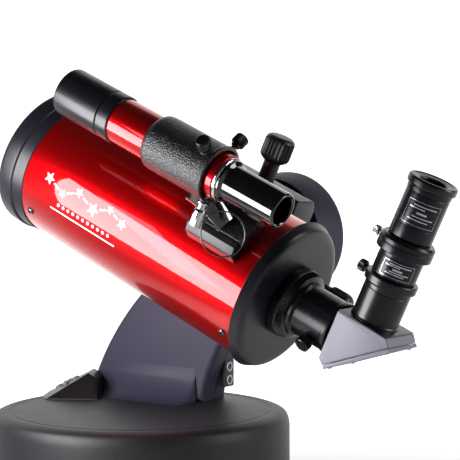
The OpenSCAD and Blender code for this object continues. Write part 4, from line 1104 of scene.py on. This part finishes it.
def build_base():
    low, high, r = reach("base_board", BASE)
    top = high[2]
    line = rounded_loop([(3.97, 0, 0.3), (r - 3, 0, 0.8), (r, 3, 1.6), (r, top - 8, 0.6),
                         (r - 0.8, top - 7.6, 0.2),
                         (r - 0.8, top - 6.6, 0.2), (r, top - 6.2, 0.4), (r, top - 5, 0.8),
                         (r - 3.4, top - 0.6, 2.4),
                         (r - 6, top, 1), (11, top, 0.3), (11, top - 6, 0.2), (3.97, top - 6.2, 0.2)], 0.4)
    piece("base_disc", [(BASE, turned(line, 256))], "base", FINISHES["turret"],
          ["base_board"])
    low, high, _ = reach("rubber_feet", BASE)
    solids = []
    foot = rounded([(0, low[2]), (12.4, low[2], 0.8), (13.4, low[2] + 0.8, 0.4), (16, low[2] + 3.2, 1.4),
                    (16, -0.2, 0.4),
                    (4, 0, 0.1), (4, high[2], 0.3), (0, high[2])], 0.4)
    for turn in (60, 180, 300):
        a = math.radians(turn)
        solids.append((BASE.at((118 * math.cos(a), 118 * math.sin(a), 0)), turned(foot, 64)))
    piece("feet_rubbers", solids, "base", FINISHES["rubber"], ["rubber_feet"])


def build_pod():
    """The control pod: the hull of a wedge and its sloping near end, with eased edges, and its fittings."""
    import bmesh
    node = frame["nodes"]["control_pod"]
    points = np.empty(len(node.data.vertices) * 3)
    node.data.vertices.foreach_get("co", points)
    made = bmesh.new()
    for point in np.unique(np.round(points.reshape(-1, 3), 5), axis=0):
        made.verts.new(point)
    hull = bmesh.ops.convex_hull(made, input=made.verts)
    spare = hull["geom_interior"] + hull["geom_unused"]
    inside = list({item for item in spare if isinstance(item, bmesh.types.BMVert)})
    bmesh.ops.delete(made, geom=inside, context="VERTS")
    bmesh.ops.dissolve_limit(made, angle_limit=math.radians(3), verts=made.verts, edges=made.edges)
    bmesh.ops.recalc_face_normals(made, faces=made.faces)
    mesh = bpy.data.meshes.new("pod_shell")
    made.to_mesh(mesh)
    made.free()
    mesh.shade_smooth()
    mesh.materials.append(FINISHES["moulded"])
    shell = bpy.data.objects.new("pod_shell", mesh)
    bpy.context.scene.collection.objects.link(shell)
    bevel = shell.modifiers.new("edges", "BEVEL")
    bevel.width, bevel.segments, bevel.limit_method = 1.6 * MM, 4, "ANGLE"
    bevel.angle_limit = math.radians(20)
    bevel.harden_normals = True
    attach(shell, "turret")
    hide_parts("control_pod")
    rim = rounded_loop([(3.5, -0.4), (4.9, -0.4), (4.7, 0.7, 0.4), (3.6, 0.7, 0.3)], 0.2)
    rings = []
    for name in ("key_up", "key_down", "key_left", "key_right"):
        way = -np.array(joint(name + "_press")["axis"], float)
        place = Place((0, 0, 0), way, (0, 1, 0))
        low, high, _ = reach(name, place)
        centre = (low + high) / 2
        place = place.at((centre[0], centre[1], high[2] - 2.4))
        dome = rounded([(0, -1.6), (3.3, -1.6), (3.4, 1.4, 0.3), (2.7, 2.3, 0.8), (0, 2.4)], 0.3)
        piece(name + "_cap", [(place, turned(dome, 48))], name, FINISHES["keys"], [name])
        rings.append((place, turned(rim, 48)))
    piece("key_surrounds", rings, "turret", FINISHES["gloss"])
    dress(FINISHES["red_switch"], "power_switch")


def build_ports():
    low, high, _ = reach("port_panel", HEAD)
    solids = []
    ring = rounded_loop([(2.85, -2.6), (4.6, -2.6), (4.6, 0.1, 0.4), (2.85, 0.1, 0.5)], 0.2)
    cup = rounded([(0, -3), (2.85, -3), (2.85, -2.6), (0.9, -2.6, 0.1), (0.9, -0.6, 0.3), (0, -0.4)], 0.1)
    y = (low[1] + high[1]) / 2
    for z in (low[2] + 6, low[2] + 18):
        place = Place(HEAD.world((high[0], y, z)), (1, 0, 0), (0, 1, 0))
        solids += [(place, turned(ring, 48)), (place, turned(cup, 32))]
    body = plate(box_outline(low[1], high[1], low[2], high[2], 1.2), -5.5, -0.15, 0.5)
    piece("socket_plate", [(Place(HEAD.world((high[0], 0, 0)), (1, 0, 0), (0, 1, 0)), body)], "turret",
          FINISHES["moulded"], ["port_panel"])
    piece("sockets", solids, "turret", FINISHES["steel"])


def build_inner_finishes():
    dress(FINISHES["steel"], "azimuth_spindle", "azimuth_bearing", "azimuth_worm", "altitude_bearing",
          "altitude_worm", "altitude_shaft", "arm_screws", "altitude_motor", "azimuth_motor")
    dress(FINISHES["brass"], "azimuth_wheel", "altitude_wheel")
    dress(FINISHES["moulded"], "turret_floor", "battery_tray")
    dress(FINISHES["sleeve"], "batteries")
    dress(FINISHES["circuit"], "circuit_board")
    dress(FINISHES["cast"], "arm_frame")
    dress(FINISHES["mirror"], "primary_mirror", "diagonal_mirror")
    dress(FINISHES["dark"], "primary_baffle")


# ---- stage ----

def area_light(name, place, aim, size, power, colour="#ffffff", along=(0, 0, 1)):
    """A soft box the camera doesn't see, aimed at a point, with its long side along a direction."""
    light = bpy.data.lights.new(name, "AREA")
    light.shape = "RECTANGLE"
    light.size, light.size_y = size
    light.energy = power
    light.color = linear(colour)
    made = bpy.data.objects.new(name, light)
    start = ALTITUDE_POINT + np.array(place)
    back = unit(start - ALTITUDE_POINT - np.array(aim))
    high = unit(np.array(along) - back * np.dot(along, back))
    axes = (np.cross(high, back), high, back) if size[1] >= size[0] else (high, np.cross(back, high), back)
    made.matrix_world = Matrix(np.vstack([np.column_stack([*axes, start]), [0, 0, 0, 1]]).tolist())
    made.visible_camera = False
    bpy.context.scene.collection.objects.link(made)
    return made


def build_stage():
    s = sizes()
    floor_z = reach("rubber_feet", BASE)[0][2] * MM
    # Sweep: a flat floor that curves up into a wall, as an arc carried sideways
    a = np.linspace(0, math.pi / 2, 24)
    bend, depth, half = 1.2, 2.4, 5.0
    run = np.concatenate([[-4.0], depth + bend * np.sin(a), [depth + bend]])
    rise = np.concatenate([[0.0], bend - bend * np.cos(a), [6.0]])
    away = np.array([-math.sin(s.camera_azimuth), math.cos(s.camera_azimuth)])
    across = np.array([away[1], -away[0]])
    points = [(*(away * u + across * v), floor_z + w) for u, w in zip(run, rise) for v in (-half, half)]
    faces = [(2 * i, 2 * i + 1, 2 * i + 3, 2 * i + 2) for i in range(len(run) - 1)]
    mesh = bpy.data.meshes.new("sweep")
    mesh.from_pydata(points, [], faces)
    mesh.shade_smooth()
    material, tree, shader = start_finish("pale_paper", tuple(bpy.context.scene.telescope_colours.floor),
                                          0.9)
    grain(tree, shader, 2.0, 0.01, 0.9, 0.03)
    # Painted light: the far paper glows as if lamps were turned on it, and the near paper gets no glow and
    # stays dim, as under black flags
    place = add_node(tree, "ShaderNodeTexCoord")
    far = add_node(tree, "ShaderNodeVectorMath", {"operation": "DOT_PRODUCT"},
                   Vector=place.outputs["Object"])
    far.inputs[1].default_value = (*away, 0)
    glow = add_node(tree, "ShaderNodeMapRange", {"From Min": 0.0, "From Max": 0.5, "To Min": 0.0,
                                                 "To Max": 1.0},
                    Value=far.outputs["Value"])
    shader.inputs["Emission Color"].default_value = (1, 1, 1, 1)
    tree.links.new(glow.outputs["Result"], shader.inputs["Emission Strength"])
    mesh.materials.append(material)
    sweep = bpy.data.objects.new("sweep", mesh)
    bpy.context.scene.collection.objects.link(sweep)
    look = np.array([-math.sin(s.camera_azimuth) * math.cos(s.camera_elevation),
                     math.cos(s.camera_azimuth) * math.cos(s.camera_elevation),
                     -math.sin(s.camera_elevation)])
    target = ALTITUDE_POINT + np.array([25.6, 15.8, 9.1]) * MM
    data = bpy.data.cameras.new("camera")
    data.lens, data.sensor_width = s.camera_lens, 36
    data.clip_start, data.clip_end = 0.05, 50
    camera = bpy.data.objects.new("camera", data)
    camera.location = target - look * s.camera_distance
    camera.rotation_euler = Vector(look).to_track_quat("-Z", "Y").to_euler()
    bpy.context.scene.collection.objects.link(camera)
    bpy.context.scene.camera = camera
    right = np.array([look[1], -look[0], 0])
    toward = -np.array([look[0], look[1], 0])
    up = np.array([0, 0, 1.0])
    # Long strip box below the tube and parallel to it: the hard white streak along every cylinder
    strip = AIM.world((-150, -307, -91)) - ALTITUDE_POINT
    area_light("strip_low", strip, (0, 0, 0), (0.3, 0.2), 3.4, along=BACK)
    # Tall box on the left near the camera: the soft highlight on the eyepieces and the holder
    area_light("soft_left", toward * 0.6 - right * 1.22, (0, 0, 0), (0.22, 0.9), 3.4, "#efe8ff")
    # Box on the right: the diagonal's end, the drum's rim and the edge light on the eyepieces
    area_light("edge_right", right * 1.15 + toward * 0.25 + up * 0.25, (0, 0, 0), (0.4, 0.7), 7.0)
    world = bpy.data.worlds.new("studio")
    bpy.context.scene.world = world
    world.use_nodes = True
    world.node_tree.nodes["Background"].inputs["Color"].default_value = (*linear("#ffffff"), 1)
    world.node_tree.nodes["Background"].inputs["Strength"].default_value = 0.03
    bpy.context.scene.view_settings.view_transform = "Standard"


# ---- add-on ----

class TELESCOPE_OT_finishes(bpy.types.Operator):
    """Makes every paint, metal, moulding and glass."""
    bl_idname = "telescope.finishes"
    bl_label = "Finishes"

    def execute(self, context):
        make_finishes()
        return {"FINISHED"}


class TELESCOPE_OT_main_tube(bpy.types.Operator):
    """Enamelled tube: a ring profile turned about the tube axis."""
    bl_idname = "telescope.main_tube"
    bl_label = "Main tube"

    def execute(self, context):
        build_main_tube()
        return {"FINISHED"}


class TELESCOPE_OT_tube_mark(bpy.types.Operator):
    """Printed star mark wrapped round the tube."""
    bl_idname = "telescope.tube_mark"
    bl_label = "Tube mark"

    def execute(self, context):
        build_tube_mark()
        return {"FINISHED"}


class TELESCOPE_OT_front_ring(bpy.types.Operator):
    """Front ring, meniscus lens and its silvered spot."""
    bl_idname = "telescope.front_ring"
    bl_label = "Front ring"

    def execute(self, context):
        build_front_ring()
        return {"FINISHED"}


class TELESCOPE_OT_rear_cell(bpy.types.Operator):
    """Rear casting with its rounded shoulder."""
    bl_idname = "telescope.rear_cell"
    bl_label = "Rear cell"

    def execute(self, context):
        build_rear_cell()
        return {"FINISHED"}


class TELESCOPE_OT_tube_screws(bpy.types.Operator):
    """Domed screws that hold the cells."""
    bl_idname = "telescope.tube_screws"
    bl_label = "Tube screws"

    def execute(self, context):
        build_tube_screws()
        return {"FINISHED"}


class TELESCOPE_OT_focus_knob(bpy.types.Operator):
    """Ribbed focus knob."""
    bl_idname = "telescope.focus_knob"
    bl_label = "Focus knob"

    def execute(self, context):
        build_focus_knob()
        return {"FINISHED"}


class TELESCOPE_OT_visual_back(bpy.types.Operator):
    """Ribbed collar and eyepiece tube."""
    bl_idname = "telescope.visual_back"
    bl_label = "Visual back"

    def execute(self, context):
        build_visual_back()
        return {"FINISHED"}


class TELESCOPE_OT_thumbscrews(bpy.types.Operator):
    """Every knurled thumbscrew."""
    bl_idname = "telescope.thumbscrews"
    bl_label = "Thumbscrews"

    def execute(self, context):
        build_thumbscrews()
        return {"FINISHED"}


class TELESCOPE_OT_diagonal(bpy.types.Operator):
    """Right-angle housing, cover, top plate and eyepiece holder."""
    bl_idname = "telescope.diagonal"
    bl_label = "Diagonal"

    def execute(self, context):
        build_diagonal()
        return {"FINISHED"}


class TELESCOPE_OT_barlow(bpy.types.Operator):
    """Barlow body, print and lens."""
    bl_idname = "telescope.barlow"
    bl_label = "Barlow"

    def execute(self, context):
        build_barlow()
        return {"FINISHED"}


class TELESCOPE_OT_eyepiece(bpy.types.Operator):
    """Eyepiece barrel, eyecup, lens and print."""
    bl_idname = "telescope.eyepiece"
    bl_label = "Eyepiece"

    def execute(self, context):
        build_eyepiece()
        return {"FINISHED"}


class TELESCOPE_OT_finder_tube(bpy.types.Operator):
    """Finder's red tube and gloss eyepiece tube."""
    bl_idname = "telescope.finder_tube"
    bl_label = "Finder tube"

    def execute(self, context):
        build_finder_tube()
        return {"FINISHED"}


class TELESCOPE_OT_finder_shade(bpy.types.Operator):
    """Finder's shade, lens and lock ring."""
    bl_idname = "telescope.finder_shade"
    bl_label = "Finder shade"

    def execute(self, context):
        build_finder_shade()
        return {"FINISHED"}


class TELESCOPE_OT_finder_bracket(bpy.types.Operator):
    """Wrinkle-painted ring, bosses, stalk and foot."""
    bl_idname = "telescope.finder_bracket"
    bl_label = "Finder bracket"

    def execute(self, context):
        build_finder_bracket()
        return {"FINISHED"}


class TELESCOPE_OT_finder_shoe(bpy.types.Operator):
    """Shoe that follows the tube."""
    bl_idname = "telescope.finder_shoe"
    bl_label = "Finder shoe"

    def execute(self, context):
        build_finder_shoe()
        return {"FINISHED"}


class TELESCOPE_OT_finder_plunger(bpy.types.Operator):
    """Sprung plunger."""
    bl_idname = "telescope.finder_plunger"
    bl_label = "Finder plunger"

    def execute(self, context):
        build_finder_plunger()
        return {"FINISHED"}


class TELESCOPE_OT_saddle(bpy.types.Operator):
    """Dovetail bar and saddle."""
    bl_idname = "telescope.saddle"
    bl_label = "Saddle"

    def execute(self, context):
        build_saddle()
        return {"FINISHED"}


class TELESCOPE_OT_clamp_knob(bpy.types.Operator):
    """Ribbed clamp knob."""
    bl_idname = "telescope.clamp_knob"
    bl_label = "Clamp knob"

    def execute(self, context):
        build_clamp_knob()
        return {"FINISHED"}


class TELESCOPE_OT_head(bpy.types.Operator):
    """Head drum and altitude plate."""
    bl_idname = "telescope.head"
    bl_label = "Head"

    def execute(self, context):
        build_head()
        return {"FINISHED"}


class TELESCOPE_OT_arm(bpy.types.Operator):
    """Two shells of the curved arm and its foot."""
    bl_idname = "telescope.arm"
    bl_label = "Arm"

    def execute(self, context):
        build_arm()
        return {"FINISHED"}


class TELESCOPE_OT_turret(bpy.types.Operator):
    """Turret shell and battery door."""
    bl_idname = "telescope.turret"
    bl_label = "Turret"

    def execute(self, context):
        build_turret()
        return {"FINISHED"}


class TELESCOPE_OT_base(bpy.types.Operator):
    """Base disc and rubber feet."""
    bl_idname = "telescope.base"
    bl_label = "Base"

    def execute(self, context):
        build_base()
        return {"FINISHED"}


class TELESCOPE_OT_pod(bpy.types.Operator):
    """Pod, keys and switch."""
    bl_idname = "telescope.pod"
    bl_label = "Control pod"

    def execute(self, context):
        build_pod()
        return {"FINISHED"}


class TELESCOPE_OT_ports(bpy.types.Operator):
    """Socket plate and sockets."""
    bl_idname = "telescope.ports"
    bl_label = "Ports"

    def execute(self, context):
        build_ports()
        return {"FINISHED"}


class TELESCOPE_OT_inner_finishes(bpy.types.Operator):
    """Finishes of the pieces held inside."""
    bl_idname = "telescope.inner_finishes"
    bl_label = "Inner pieces"

    def execute(self, context):
        build_inner_finishes()
        return {"FINISHED"}


class TELESCOPE_OT_stage(bpy.types.Operator):
    """Sweep, camera and lights."""
    bl_idname = "telescope.stage"
    bl_label = "Stage"

    def execute(self, context):
        build_stage()
        return {"FINISHED"}


OPERATORS = [TELESCOPE_OT_finishes, TELESCOPE_OT_main_tube, TELESCOPE_OT_tube_mark,
             TELESCOPE_OT_front_ring, TELESCOPE_OT_rear_cell, TELESCOPE_OT_tube_screws,
             TELESCOPE_OT_focus_knob, TELESCOPE_OT_visual_back, TELESCOPE_OT_thumbscrews,
             TELESCOPE_OT_diagonal, TELESCOPE_OT_barlow, TELESCOPE_OT_eyepiece,
             TELESCOPE_OT_finder_tube, TELESCOPE_OT_finder_shade, TELESCOPE_OT_finder_bracket,
             TELESCOPE_OT_finder_shoe, TELESCOPE_OT_finder_plunger, TELESCOPE_OT_saddle,
             TELESCOPE_OT_clamp_knob, TELESCOPE_OT_head, TELESCOPE_OT_arm, TELESCOPE_OT_turret,
             TELESCOPE_OT_base, TELESCOPE_OT_pod, TELESCOPE_OT_ports, TELESCOPE_OT_inner_finishes,
             TELESCOPE_OT_stage]


class TELESCOPE_PT_panel(bpy.types.Panel):
    """Lists the pieces in the 3D view's sidebar."""
    bl_label = "Telescope"
    bl_idname = "TELESCOPE_PT_panel"
    bl_space_type = "VIEW_3D"
    bl_region_type = "UI"
    bl_category = "Telescope"

    def draw(self, context):
        for item in OPERATORS:
            self.layout.operator(item.bl_idname)
        for group in (context.scene.telescope_sizes, context.scene.telescope_colours):
            for key in group.__annotations__:
                self.layout.prop(group, key)


def register():
    for item in [TelescopeSizes, TelescopeColours, *OPERATORS, TELESCOPE_PT_panel]:
        bpy.utils.register_class(item)
    bpy.types.Scene.telescope_sizes = bpy.props.PointerProperty(type=TelescopeSizes)
    bpy.types.Scene.telescope_colours = bpy.props.PointerProperty(type=TelescopeColours)


def unregister():
    del bpy.types.Scene.telescope_colours
    del bpy.types.Scene.telescope_sizes
    for item in reversed([TelescopeSizes, TelescopeColours, *OPERATORS, TELESCOPE_PT_panel]):
        bpy.utils.unregister_class(item)


def main():
    register()
    for item in OPERATORS:
        getattr(bpy.ops.telescope, item.bl_idname.split(".")[1])()


if __name__ == "__main__":
    main()
